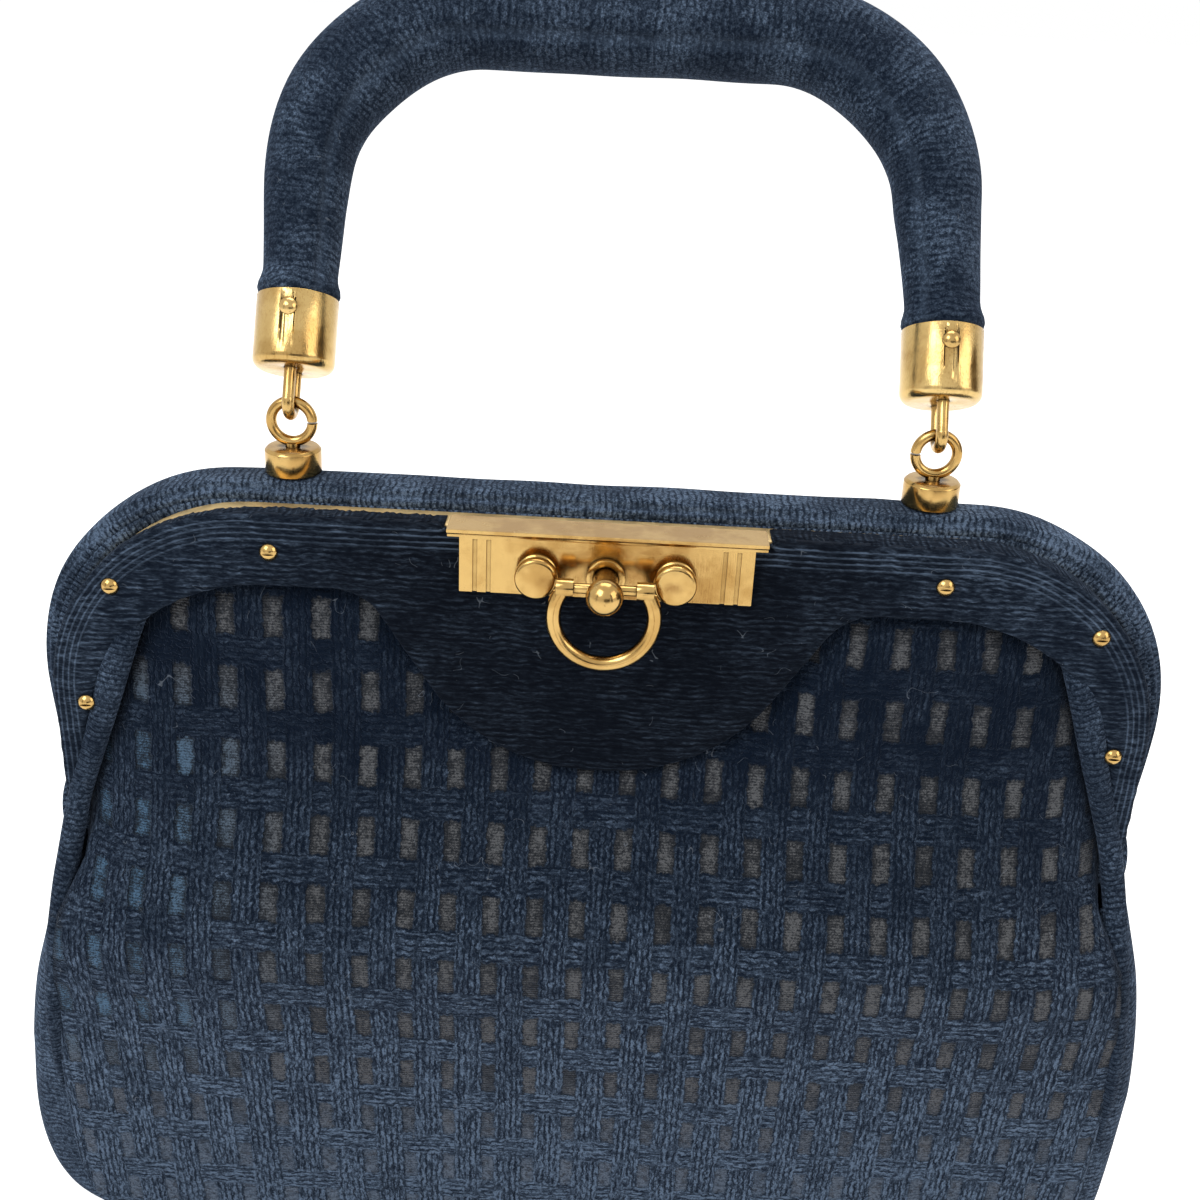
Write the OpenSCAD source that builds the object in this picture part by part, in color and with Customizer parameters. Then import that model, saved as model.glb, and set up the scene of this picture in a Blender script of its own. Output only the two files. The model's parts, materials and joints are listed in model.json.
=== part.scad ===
// Structured frame purse in dark velvet: a fixed rear jaw, a front jaw hinged at both sides,
// a pull clasp with a ring, and a bail handle on two ring eyes.
// X runs to the right, the front faces -Y, Z is up. The origin is the middle of the flat base.

/* [Bag] */
// How far the side seams stand out past the front jaw at the belly
belly_out = 6; // [2:0.1:8]
// How much narrower each side of the bag is at the hinges
neck_in = 10; // [6:0.5:14]
// Height of the belly, the widest level of the bag
belly_z = 60; // [52:1:70]
// Height at which the bag is deepest
deepest_z = 93; // [84:1:97]
// Half depth of the bag where it is deepest
belly_y = 30; // [24:0.5:32]
// Half depth of the base between its long edges
base_y = 20.5; // [14:0.5:22]
// How much less deep the bag is at its side seams
seam_in = 4; // [2:0.25:6]
// How far the side gussets bulge past the seams
gusset_bulge = 9; // [3:0.5:12]
// Thickness of the velvet with its stiffening
cloth_t = 2.4; // [1.5:0.1:3]
// Thickness of the lining and of its pocket
lining_t = 0.8; // [0.5:0.1:1.2]
// How far the cloth tucks in behind the yokes
tuck = 3.5; // [2.5:0.1:4]
// Thickness of the stiff board in the base
board_t = 2; // [1:0.25:3]
// Distance from the base's ends to the ends of its stiff board
board_end_in = 5; // [3:0.5:30]
// Width of the pocket in the lining
pocket_w = 110; // [60:1:130]
// Height of the pocket in the lining
pocket_h = 45; // [30:1:52]
// Height where the front cloth starts to bend with the jaw
fold_z = 100; // [90:1:103]

/* [Front jaw] */
// Half width of the front jaw's frame
jaw_half_w = 117.5; // [113:0.5:123]
// Height of the front jaw's top edge
jaw_top_z = 194.3; // [188:0.5:200]
// Outer radius of the front jaw's corners
jaw_corner_r = 43; // [36:1:48]
// Depth of the front jaw's frame
jaw_depth = 7.8; // [7.2:0.1:9]
// Thickness of the frames' flat plates
plate_t = 1.2; // [0.8:0.1:1.4]
// Thickness of the frames' outer walls
wall_t = 1.5; // [1:0.1:1.6]
// Thickness of the covered yoke boards
yoke_t = 2.9; // [2:0.1:3.2]
// Width of the front frame's edge that shows round the yoke
lip_w = 1; // [0.6:0.1:1.6]
// Width of the yoke band at the foot of its legs
leg_band_w = 2.5; // [2.3:0.1:3.5]
// Height of the yoke band along the top
top_band_h = 15; // [14:0.5:17]
// How far the frames' plates stay back from the yokes' inner edge
plate_back_off = 1; // [0.6:0.1:1.4]
// How far the yoke band reaches in at its shoulders
shoulder_w = 22.5; // [20:0.5:26]
// Radius of the yoke's inner shoulders
shoulder_r = 30; // [24:1:34]
// Half width of the yoke's tongue where it leaves the band
tongue_half_w = 50.5; // [48:0.5:54]
// Half width of the tongue's sides at its lower end, before that end is rounded
tongue_end_half_w = 24.5; // [23:0.5:30]
// How far the tongue hangs below the band
tongue_drop = 40.3; // [30:0.5:42]
// Radius of the tongue's rounded end
tongue_r = 42; // [30:1:43]
// Radius of the hollows beside the tongue
tongue_hollow_r = 12; // [8:1:14]

/* [Rear jaw] */
// How far the rear rim stands above the front jaw
rim_rise = 4.1; // [3.6:0.1:6]
// Thickness of the padding round the rear frame
rim_pad_t = 4.9; // [4.5:0.1:7]
// Rounding of the rear rim's front edge
rim_round = 1.8; // [1:0.1:2.2]
// How far the rear rim's legs reach below the hinges
rim_leg_drop = 5; // [2:0.5:8]
// How far the rear rim's legs draw in towards their feet
rim_leg_in = 1.8; // [0:0.1:2]

/* [Hinges] */
// Height of the hinge axis
hinge_z = 119; // [117:0.5:121]
// Depth of the plane where the jaws meet, which holds the hinge axis
parting_y = -3; // [-3.4:0.1:-2.6]
// Height of the frames' feet above the hinge axis
leg_rise = 5; // [4.5:0.25:6]
// Height above the hinge axis to which the ears run up their frames
ear_rise = 17; // [14:0.5:22]
// Radius of the round hinge ears
ear_r = 7; // [6:0.25:7.5]
// Thickness of the hinge ears
ear_t = 1.5; // [1.2:0.1:1.8]
// Radius of the hinge pins
hinge_pin_r = 1.6; // [1.2:0.1:2]
// Radius of the hinge pins' riveted heads
hinge_head_r = 3; // [2.4:0.1:3.4]
// Thickness of the hinge pins' riveted heads
hinge_head_t = 1.2; // [0.8:0.1:1.4]

/* [Screws] */
// Radius of the screw heads
screw_head_r = 1.95; // [1.6:0.05:2.2]
// Distance of the upper screws from the front jaw's top edge
screw_top_in = 7; // [5:0.25:8]
// Distance of the corner screws from the front jaw's edge
screw_corner_in = 3.9; // [3.2:0.1:6]
// Distance of the lower screws from the front jaw's side edge
screw_side_in = 6.5; // [5:0.25:7]
// Height of the domed screw heads
screw_head_h = 1.2; // [0.8:0.1:1.6]
// Radius of the screws
screw_r = 1; // [0.7:0.05:1.2]
// Width of the screw slots
slot_w = 0.6; // [0.4:0.1:0.8]
// Depth of the screw slots
slot_depth = 0.5; // [0.3:0.1:0.6]

/* [Clasp] */
// Height of the peg's axis
peg_z = 187; // [186:0.25:188]
// Width of the clasp plate's face
clasp_w = 60; // [56:0.5:68]
// Width of the clasp plate's cornice
cornice_w = 65; // [62:0.5:72]
// Distance from the peg's axis to the lower edge of the clasp plate
clasp_below = 5; // [4.8:0.1:6]
// Thickness of the clasp plate
clasp_t = 2.4; // [2:0.1:3]
// How far the cornice stands out from the clasp plate
cornice_out = 1.3; // [0.8:0.1:1.6]
// Height of the cornice
cornice_h = 1.5; // [1.2:0.1:2]
// Width of the grooves in the clasp plate
groove_w = 0.9; // [0.5:0.1:1.2]
// Depth of the grooves in the clasp plate
groove_depth = 0.4; // [0.2:0.1:0.6]
// Distance between the two grooves of a pair
groove_pitch = 2.8; // [2.2:0.1:3.4]
// Distance from the peg's axis to the inner groove
groove_x = 24; // [22:0.25:25]
// Distance from the peg's axis to each knob
knob_x = 14.1; // [13.4:0.1:16]
// Radius of the knobs
knob_r = 4.4; // [3.8:0.1:4.6]
// Height of the knobs
knob_h = 4.1; // [3:0.1:4.3]
// Radius of the knobs' stems
knob_stem_r = 1.2; // [0.9:0.1:1.5]
// Radius of the bushing's round boss
boss_r = 4; // [3.7:0.1:4.4]
// Height of the bushing's round boss
boss_h = 1.5; // [1:0.1:2]
// Outer radius of the bushing's sleeve
sleeve_r = 3.5; // [3.2:0.1:3.6]
// Radius of the peg
peg_r = 2.5; // [2.2:0.05:2.6]
// Radius of the peg's ball head
ball_r = 3.8; // [3.4:0.1:4.2]
// Radius of the ball that the catch holds
tip_r = 2; // [1.8:0.05:2.1]
// Radius of the neck behind that ball
tip_neck_r = 1.2; // [0.9:0.05:1.3]
// How far the peg can be pulled out
peg_travel = 3; // [2:0.1:3.4]
// Radius of the spring's wire
peg_spring_wire_r = 0.3; // [0.2:0.02:0.34]
// Thickness of the collar that the spring pushes
collar_t = 1.2; // [0.8:0.1:1.3]
// Radius of that collar
collar_r = 4.2; // [3.8:0.1:4.2]
// Thickness of the catch's spring metal
catch_t = 0.5; // [0.4:0.05:0.5]
// Width of the catch
catch_w = 8; // [6:0.5:10]

/* [Pull ring] */
// Radius of the pull ring, at the middle of its wire
pull_r = 10.2; // [9.6:0.1:10.6]
// Radius of the pull ring's wire
pull_wire_r = 1.55; // [1.3:0.05:1.6]
// How far the crossbar lies above the ring's middle
pull_bar_up = 6.25; // [5.8:0.05:6.8]
// Distance between the knobs' faces and the ring
pull_gap = 1.2; // [0.6:0.1:2]
// Radius of the crossbar
pull_bar_r = 1.05; // [0.9:0.05:1.15]

/* [Handle] */
// Distance of each post in from where the jaws' corners start
post_in = 6.2; // [4:0.2:10]
// Radius of the posts
post_r = 6; // [5.2:0.1:6.4]
// Height of the posts
post_h = 5.5; // [4:0.25:7]
// Radius of the eye rings, at the middle of their wire
eye_ring_r = 4.375; // [4.2:0.025:5]
// Radius of the eye rings' wire
eye_ring_wire_r = 1.125; // [1:0.025:1.2]
// Width of the cut in each eye ring
eye_cut_w = 0.5; // [0.3:0.1:0.8]
// Radius of the bolts below the eye rings
eye_bolt_r = 1.5; // [1.2:0.1:1.8]
// Corner radius of the hexagonal nuts on those bolts
eye_nut_r = 3.2; // [2.8:0.1:3.4]
// Thickness of those nuts
eye_nut_t = 2.4; // [1.6:0.1:2.6]
// Radius of the handle eyes' wire
handle_eye_wire_r = 1.3; // [1.1:0.05:1.3]
// Play between an eye ring and the handle eye in it
eye_play = 0.3; // [0.2:0.05:0.3]
// Distance from the handle's pivot to the ferrules
ferrule_low = 6.5; // [6.3:0.1:8]
// Length of the ferrules
ferrule_l = 15.5; // [12:0.5:18]
// Radius of the ferrules
ferrule_r = 8.6; // [8.4:0.1:8.8]
// Wall of the ferrules
ferrule_wall = 1.2; // [0.8:0.1:1.4]
// Radius of the rounded lower edge of the ferrules
ferrule_round = 2; // [1.9:0.1:3]
// Radius of the ferrules' cross pins
cross_pin_r = 1.2; // [0.9:0.1:1.5]
// Radius of the cross pins' domed heads
cross_head_r = 1.9; // [1.7:0.1:2.2]
// Radius of the handle's grip at its top
grip_r = 10.5; // [9:0.25:12]
// Thickness of the handle's padded cover
cover_t = 1.8; // [1.2:0.1:2.5]
// Distance from the handle's pivot to the middle of its arch
arch_h = 86; // [80:1:96]
// How far the handle's legs draw in from the posts to its corners
arch_in = 2.3; // [-1:0.1:6]
// Radius of the arch's corners, at the middle of the handle
arch_corner_r = 36; // [30:1:42]
// Lean of the handle at rest, towards the rear
lean = 29; // [0:1:40]

/* [Hidden] */
$fn = 48;

// Running clearance of pins in their bores, and the larger one between cloth and metal
fit = 0.05;
gap = 0.3;
// Overrun of every cut past the faces that it opens
over = gap;

velvet = "#16202e";
pattern_velvet = "#222d3e";
brass = "#c9a35a";
satin = "#2b2630";
wood = "#b58a5a";
board = "#4a4038";
steel = "#9aa0a6";

// Depths of the jaws' layers, from the parting plane outwards
jaw_back_y = parting_y - gap;
plate_front_y = jaw_back_y - jaw_depth;
plate_back_y = plate_front_y + plate_t;
yoke_back_y = plate_front_y - gap / 2;
yoke_front_y = yoke_back_y - yoke_t;
rear_front_y = parting_y + gap;

// Radii of the boards and walls inside the jaws' outlines
rim_half_w = jaw_half_w + gap + ear_t + wall_t + rim_pad_t;
rim_top_z = jaw_top_z + rim_rise;
rim_corner_r = jaw_corner_r + rim_rise + gap;
rear_half_w = rim_half_w - rim_pad_t;
rear_top_z = rim_top_z - rim_pad_t;
rear_corner_r = rim_corner_r - rim_pad_t;
leg_foot_z = hinge_z + leg_rise;
front_ear_x = jaw_half_w - wall_t - ear_t;
post_x = jaw_half_w - jaw_corner_r - post_in;
rear_ear_x = rear_half_w - wall_t - ear_t;

// Opening inside the yokes: a sloping leg edge, a round shoulder and a level top edge
opening_low_w = jaw_half_w - leg_band_w;
opening_top_w = jaw_half_w - shoulder_w;
opening_top_z = jaw_top_z - top_band_h;
opening_slope = atan2(opening_low_w - opening_top_w, opening_top_z - leg_foot_z);
shoulder_reach = shoulder_r * tan((90 - opening_slope) / 2);
shoulder_cx = opening_top_w - shoulder_reach;
shoulder_cz = opening_top_z - shoulder_r;
// Half depth of the tucked cloth, behind the plates: at its side edges and in the middle of its top
tuck_y = -plate_back_y - gap * 2;
neck_y = tuck_y - gap * 2;

// Half width between the side seams at the belly
panel_half_w = jaw_half_w + belly_out;

// Powers that shape the bag: the round of its lower corners, the draw-in of its sides,
// the fall of its middle and of its seams, and the flatness of its panels across their width
corner_power = 7;
corner_root = 7;
neck_power = 1.6;
base_power = 1.4;
fall_power = 2.7;
seam_fall_power = 0.9;
cross_power = 8;
// Part of the belly's height that the rounded corners lose at the flat base
base_flat_share = 0.0195;

function ease(s) = 0.5 + cos(180 * min(max(s, 0), 1)) / 2;
function mix(a, b, s) = a + (b - a) * s;
function share(z, low, high) = min(max((z - low) / (high - low), 0), 1);

// Half width of the bag at the side seam, at height z
function corner_half_w(z) = let (
        raw = belly_z * base_flat_share + z * (1 - base_flat_share)
    ) panel_half_w * pow(1 - pow((belly_z - raw) / belly_z, corner_power), 1 / corner_root);
function seam_half_w(z) = z < belly_z ? corner_half_w(z)
    : panel_half_w - neck_in * pow((z - belly_z) / (leg_foot_z + ear_r - belly_z), neck_power);
// Half width of the front and rear cloth, which spreads to the frame's legs above the fold
function opening_half_w(z) = opening_low_w - (z - leg_foot_z) * tan(opening_slope);
function shoulder_half_w(z) = shoulder_cx
    + sqrt(max(pow(shoulder_r + tuck, 2) - pow(z - shoulder_cz, 2), 0));
function cloth_half_w(z) = z <= fold_z ? seam_half_w(z) : min(
    mix(seam_half_w(fold_z), front_ear_x - gap, share(z, fold_z, hinge_z - ear_r)),
    z < shoulder_cz + (shoulder_r + tuck) * sin(opening_slope)
        ? opening_half_w(z) + tuck / cos(opening_slope) : shoulder_half_w(z));
// Half depth of the cloth in the middle and at its side edges, at height z
function middle_y(z) = z < deepest_z
    ? belly_y - (belly_y - base_y) * pow((deepest_z - z) / deepest_z, base_power)
    : mix(neck_y, belly_y, pow(ease((z - deepest_z) / (opening_top_z - deepest_z)), fall_power));
function edge_y(z) = z < deepest_z ? middle_y(z) - seam_in * sqrt(z / deepest_z)
    : mix(tuck_y, belly_y - seam_in,
        pow(ease((z - deepest_z) / (leg_foot_z - deepest_z)), seam_fall_power));
function cloth_y(z, t) = let (m = middle_y(z)) m - max(m - edge_y(z), 0) * pow(abs(t), cross_power);

// Points of an arc that rounds corner b between a and c
function unit(v) = v / norm(v);
function round_corner(a, b, c, r, n) = r == 0 ? [b] : let (
        u = unit(a - b), v = unit(c - b),
        half = acos(min(max(u * v, -1), 1)) / 2,
        centre = b + unit(u + v) * r / sin(half),
        p = b + u * r / tan(half) - centre,
        q = b + v * r / tan(half) - centre,
        start = atan2(p[1], p[0]),
        turn = (atan2(q[1], q[0]) - start + 360 + 180) % 360 - 180
    ) [for (i = [0:n]) centre + r * [cos(start + turn * i / n), sin(start + turn * i / n)]];
// Outline from [x, z, corner radius] points, each corner rounded in n steps
function rounded(points, n = 20) = let (m = len(points)) [
    for (i = [0:m - 1]) each let (
            a = points[(i + m - 1) % m], b = points[i], c = points[(i + 1) % m]
        ) round_corner([a[0], a[1]], [b[0], b[1]], [c[0], c[1]], b[2], n)];
function mirrored(points) = [for (i = [len(points) - 1:-1:0])
    [-points[i][0], points[i][1], points[i][2]]];

// Stands an outline drawn in X and Z up between two depths
module upright(y0, y1) {
    translate([0, max(y0, y1), 0]) rotate([90, 0, 0]) linear_extrude(abs(y1 - y0)) children();
}
// Lays a shape that is round about Z along Y, with its top towards the front
module forward(x, y, z) { translate([x, y, z]) rotate([90, 0, 0]) children(); }
module sideways(x, y, z) { translate([x, y, z]) rotate([0, 90, 0]) children(); }

// Skin over rings of points, with flat ends
module skin(rings) {
    n = len(rings[0]);
    last = len(rings) - 1;
    sides = [for (i = [0:last - 1], j = [0:n - 1]) each let (
            a = i * n + j, b = i * n + (j + 1) % n
        ) [[a, b, b + n], [a, b + n, a + n]]];
    ends = [[for (j = [n - 1:-1:0]) j], [for (j = [0:n - 1]) last * n + j]];
    polyhedron([for (ring = rings) each ring], concat(sides, ends));
}
// Hollow skin between outer and inner rings, open at both ends
module pipe_skin(outer, inner) {
    n = len(outer[0]);
    last = len(outer) - 1;
    m = n * (last + 1);
    walls = [for (i = [0:last - 1], j = [0:n - 1]) each let (
            a = i * n + j, b = i * n + (j + 1) % n
        ) [[a, b, b + n], [a, b + n, a + n], [m + a, m + b + n, m + b], [m + a, m + a + n, m + b + n]]];
    ends = [for (j = [0:n - 1]) each let (k = (j + 1) % n, e = last * n) [
            [j, m + k, k], [j, m + j, m + k], [e + j, e + k, m + e + k], [e + j, m + e + k, m + e + j]]];
    polyhedron([for (ring = concat(outer, inner)) each ring], concat(walls, ends));
}
// Sheet between two grids of points, rows by columns
module sheet(outer, inner) {
    n = len(outer[0]);
    last = len(outer) - 1;
    m = n * (last + 1);
    function cell(a, b, c, d) = [[a, b, c], [a, c, d]];
    faces = [for (i = [0:last - 1], j = [0:n - 2]) each let (a = i * n + j) concat(
            cell(a, a + 1, a + n + 1, a + n), cell(m + a, m + a + n, m + a + n + 1, m + a + 1))];
    rims = [for (j = [0:n - 2]) each let (e = last * n + j)
            concat(cell(j, m + j, m + j + 1, j + 1), cell(e, e + 1, m + e + 1, m + e))];
    flanks = [for (i = [0:last - 1]) each let (a = i * n, b = i * n + n - 1)
            concat(cell(a, a + n, m + a + n, m + a), cell(b, m + b, m + b + n, b + n))];
    polyhedron([for (row = concat(outer, inner)) each row], concat(faces, rims, flanks));
}

// Rows of heights: close together at the base, where the corners turn in
low_rows = 9;
function low_z(i) = belly_z * pow(i / low_rows, 2);
function heights(low, high, n) = [for (i = [0:n]) mix(low, high, i / n)];
lower_heights = concat([for (i = [0:low_rows]) low_z(i)],
    [for (i = [1:4]) mix(belly_z, fold_z, i / 4)]);
upper_heights = concat(heights(fold_z, shoulder_cz, 6), [for (i = [1:6]) shoulder_cz
    + (shoulder_r + tuck) * sin(90 * i / 6 * 0.97)]);
cross_n = 14;
function cross_shares() = [for (i = [0:cross_n]) let (s = i / cross_n * 2 - 1)
    sign(s) * pow(abs(s), 0.8)];

// A panel over the given heights; side is -1 at the front and 1 at the rear
module panel(levels, side) {
    outer = [for (z = levels) [for (s = cross_shares()) [s * cloth_half_w(z), side * cloth_y(z, s), z]]];
    inner = [for (row = outer) [for (p = row) [p[0], p[1] - side * cloth_t, p[2]]]];
    if (side < 0) sheet(outer, inner);
    else sheet(inner, outer);
}

// The gusset strip along the side seam; each row of it lies square to the seam's outline
gusset_n = 8;
gusset_wall_gap = cloth_t + fit;
// Part of the bulge that is lost from the belly up to the hinges
top_loss_share = 0.45;
function gusset_normal(levels, i) = let (
        z0 = levels[max(i - 1, 0)], z1 = levels[min(i + 1, len(levels) - 1)],
        d = unit([seam_half_w(z1) - seam_half_w(z0), z1 - z0])
    ) [d[1], -d[0]];
function gusset_row(levels, i, depth) = let (
        z = levels[i], n = gusset_normal(levels, i), x = seam_half_w(z),
        reach = edge_y(z) - gusset_wall_gap,
        rise = gusset_bulge * pow(max(n[0], 0), 2) * (1 - top_loss_share * share(z, belly_z, hinge_z))
    ) [for (j = [0:gusset_n]) let (v = j / gusset_n * 2 - 1, h = rise * sqrt(1 - pow(v, 4)) - depth)
        [x + n[0] * h, v * reach, max(z + n[1] * h, depth > 0 ? depth : 0)]];
module gusset(levels) {
    rows = [for (i = [0:len(levels) - 1]) i];
    outer = [for (i = rows) gusset_row(levels, i, 0)];
    inner = [for (i = rows) gusset_row(levels, i, cloth_t)];
    sheet(inner, outer);
}
gusset_top_heights = heights(fold_z, hinge_z - ear_r - cloth_t / 2, 2);

// Arch outlines of the jaws' parts
function jaw_points(half_w, top, r, foot) = [[half_w, top, r], [half_w, foot, 0]];
function opening_points(off, foot) = [
    [opening_top_w + off, opening_top_z + off, shoulder_r + off],
    [opening_low_w + off + (leg_foot_z - foot) * tan(opening_slope), foot, 0]];
module arch_shape(outer, inner) {
    right = concat(outer, [for (i = [len(inner) - 1:-1:0]) inner[i]]);
    polygon(rounded(concat(right, mirrored(right))));
}
module front_opening_with_tongue(foot) {
    right = concat(jaw_points(jaw_half_w - lip_w, jaw_top_z - lip_w, jaw_corner_r - lip_w, foot), [
        [opening_low_w + (leg_foot_z - foot) * tan(opening_slope), foot, 0],
        [opening_top_w, opening_top_z, shoulder_r],
        [tongue_half_w, opening_top_z, tongue_hollow_r],
        [tongue_end_half_w, opening_top_z - tongue_drop, tongue_r]]);
    polygon(rounded(concat(right, mirrored(right))));
}

// Places of the screws, the same on both yokes: on the top, round the corner and on the leg
corner_cx = jaw_half_w - jaw_corner_r;
corner_cz = jaw_top_z - jaw_corner_r;
screw_corner_angle = 42.5;
screw_places = [
    [corner_cx - screw_head_r * 5 / 2, jaw_top_z - screw_top_in],
    [corner_cx + (jaw_corner_r - screw_corner_in) * cos(screw_corner_angle),
        corner_cz + (jaw_corner_r - screw_corner_in) * sin(screw_corner_angle)],
    [jaw_half_w - screw_side_in, corner_cz - screw_head_r * 3 / 4]];
module at_screws() {
    for (p = screw_places, s = [-1, 1]) translate([s * p[0], 0, p[1]]) children();
}
// One slotted screw along Y, its head's seat at y = 0 and its head towards -Y
module screw(length) {
    dome_r = (pow(screw_head_r, 2) + pow(screw_head_h, 2)) / (2 * screw_head_h);
    rotate([90, 0, 0]) difference() {
        union() {
            intersection() {
                translate([0, 0, screw_head_h - dome_r]) sphere(dome_r);
                cylinder(h = screw_head_h + over, r = screw_head_r);
            }
            translate([0, 0, -length]) cylinder(h = length + screw_head_h / 2, r = screw_r);
        }
        translate([-screw_head_r - over, -slot_w / 2, screw_head_h - slot_depth])
            cube([(screw_head_r + over) * 2, slot_w, slot_depth + over]);
    }
}
module screw_holes(y0, y1) {
    at_screws() forward(0, y1 + over, 0) cylinder(h = y1 - y0 + over * 2, r = screw_r + fit);
}
screw_l = yoke_t + gap / 2 + plate_t + gap / 2;

module base_board() {
    half_l = seam_half_w(0) - board_end_in;
    half_w = base_y - gusset_wall_gap - gap;
    color(board) translate([-half_l, -half_w, cloth_t + gap / 3]) cube([half_l * 2, half_w * 2, board_t]);
}
module front_panel() { color(pattern_velvet) panel(lower_heights, -1); }
module front_panel_upper() { color(pattern_velvet) panel(upper_heights, -1); }
module rear_panel() {
    color(pattern_velvet) panel(concat(lower_heights, [for (i = [1:len(upper_heights) - 1])
        upper_heights[i]]), 1);
}
module right_gusset() { color(velvet) gusset(lower_heights); }
module left_gusset() { mirror([1, 0, 0]) right_gusset(); }
module right_gusset_top() { color(velvet) gusset(gusset_top_heights); }
module left_gusset_top() { mirror([1, 0, 0]) right_gusset_top(); }
module bottom_gusset() {
    half_l = seam_half_w(0) - gap;
    half_w = edge_y(0) - gusset_wall_gap;
    color(velvet) translate([-half_l, -half_w, 0]) cube([half_l * 2, half_w * 2, cloth_t]);
}

// The lining is a tub of level rings just inside the cloth
lining_off = cloth_t + gap;
lining_low_z = cloth_t + board_t + gap;
lining_heights = concat([for (i = [0:5]) mix(lining_low_z, belly_z, pow(i / 5, 2))],
    [for (i = [1:4]) mix(belly_z, fold_z - cloth_t, i / 4)]);
function lining_half_w(z, off) = seam_half_w(max(z - off, 0)) - off - gap;
function lining_ring(z, off) = let (
        w = lining_half_w(z, off), side_y = edge_y(z) - off - cloth_t / 3,
        front = [for (i = [0:12]) let (
                t = i / 6 - 1, limit_y = mix(belly_y, side_y, pow(abs(t), cross_power))
            ) [t * w, -min(cloth_y(z, t * w / cloth_half_w(z)) - off, limit_y), z]],
        rear = [for (i = [12:-1:0]) [front[i][0], -front[i][1], z]]
    ) concat(front, rear);
module lining() {
    floor_z = lining_low_z + lining_t;
    outer = [for (z = lining_heights) lining_ring(z, lining_off)];
    inner = [for (z = lining_heights) lining_ring(max(z, floor_z), lining_off + lining_t)];
    color(satin) skin(concat(outer, [for (i = [len(inner) - 1:-1:0]) inner[i]]));
}
module inner_pocket() {
    low = belly_z - pocket_h / 2;
    back_in = lining_off + lining_t + gap;
    back = [for (z = heights(low, low + pocket_h, 6)) [for (i = [-3:3])
        [i / 3 * pocket_w / 2, middle_y(z) - back_in, z]]];
    color(satin) sheet([for (row = back) [for (p = row) [p[0], p[1] - lining_t, p[2]]]], back);
}

// A round ear whose arm runs up the inside of the frame's wall and into it
module ear(x, t, y0, y1) {
    union() {
        sideways(x, parting_y, hinge_z) cylinder(h = t, r = ear_r);
        translate([x, y0, hinge_z]) cube([t, y1 - y0, ear_rise]);
        translate([x, y0, leg_foot_z]) cube([t + wall_t / 2, y1 - y0, ear_rise - leg_rise]);
    }
}
module ear_bore(x, t) {
    sideways(x - over, parting_y, hinge_z) cylinder(h = t + over * 2, r = hinge_pin_r + fit);
}
module frame_wall(half_w, top, r, y0, y1) {
    upright(y0, y1) arch_shape(jaw_points(half_w, top, r, leg_foot_z),
        jaw_points(half_w - wall_t, top - wall_t, r - wall_t, leg_foot_z));
}
module frame_plate(half_w, top, r, y0, y1) {
    upright(y0, y1) arch_shape(jaw_points(half_w, top, r, leg_foot_z),
        opening_points(plate_back_off, leg_foot_z));
}
module eye_bolt_holes() {
    for (s = [-1, 1]) translate([s * post_x, post_y, rear_top_z - wall_t * 2])
        cylinder(h = rim_pad_t + wall_t * 3, r = eye_bolt_r + fit);
}
module rear_frame() {
    color(brass) difference() {
        union() {
            frame_wall(rear_half_w, rear_top_z, rear_corner_r, rear_front_y, -plate_front_y);
            frame_plate(rear_half_w, rear_top_z, rear_corner_r, -plate_back_y, -plate_front_y);
            for (s = [0, 1]) mirror([s, 0, 0])
                ear(rear_ear_x, ear_t, rear_front_y, parting_y + ear_r * 4 / 5);
        }
        for (s = [0, 1]) mirror([s, 0, 0]) ear_bore(rear_ear_x, ear_t);
        mirror([0, 1, 0]) screw_holes(plate_front_y, plate_back_y);
        eye_bolt_holes();
        catch_rivet_holes();
    }
}
rim_foot_z = hinge_z - rim_leg_drop;
function rim_points(off, foot) = let (
        lean_in = rim_leg_in * (rim_top_z - foot) / (rim_top_z - rim_foot_z)
    ) [[rim_half_w - off, rim_top_z - off, rim_corner_r - off],
        [rim_half_w - off - lean_in, foot, 0]];
module rim_slab(y0, y1, off) {
    upright(y0, y1) arch_shape(rim_points(off, rim_foot_z),
        jaw_points(rear_half_w + gap, rear_top_z + gap, rear_corner_r + gap, rim_foot_z));
}
module rear_rim() {
    back = -plate_front_y;
    third = rim_round / 3;
    color(velvet) difference() {
        union() {
            rim_slab(rear_front_y, back, rim_round);
            rim_slab(rear_front_y + third, back, third);
            rim_slab(rear_front_y + rim_round, back, 0);
        }
        eye_bolt_holes();
    }
}
module rear_yoke() {
    foot = leg_foot_z;
    color(velvet) difference() {
        upright(-yoke_back_y, -yoke_front_y) arch_shape(rim_points(lip_w, foot), opening_points(0, foot));
        mirror([0, 1, 0]) screw_holes(yoke_front_y, yoke_back_y);
    }
}
module rear_screws() {
    color(brass) at_screws() mirror([0, 1, 0]) translate([0, yoke_front_y, 0]) screw(screw_l);
}
module front_frame() {
    color(brass) difference() {
        union() {
            frame_wall(jaw_half_w, jaw_top_z, jaw_corner_r, plate_front_y, jaw_back_y);
            frame_plate(jaw_half_w, jaw_top_z, jaw_corner_r, plate_front_y, plate_back_y);
            for (s = [0, 1]) mirror([s, 0, 0])
                ear(front_ear_x, ear_t, plate_back_y, jaw_back_y);
        }
        for (s = [0, 1]) mirror([s, 0, 0]) ear_bore(front_ear_x, ear_t);
        screw_holes(plate_front_y, plate_back_y);
        knob_stem_holes(plate_front_y, plate_back_y);
        sleeve_hole(plate_front_y, plate_back_y);
    }
}
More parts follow.
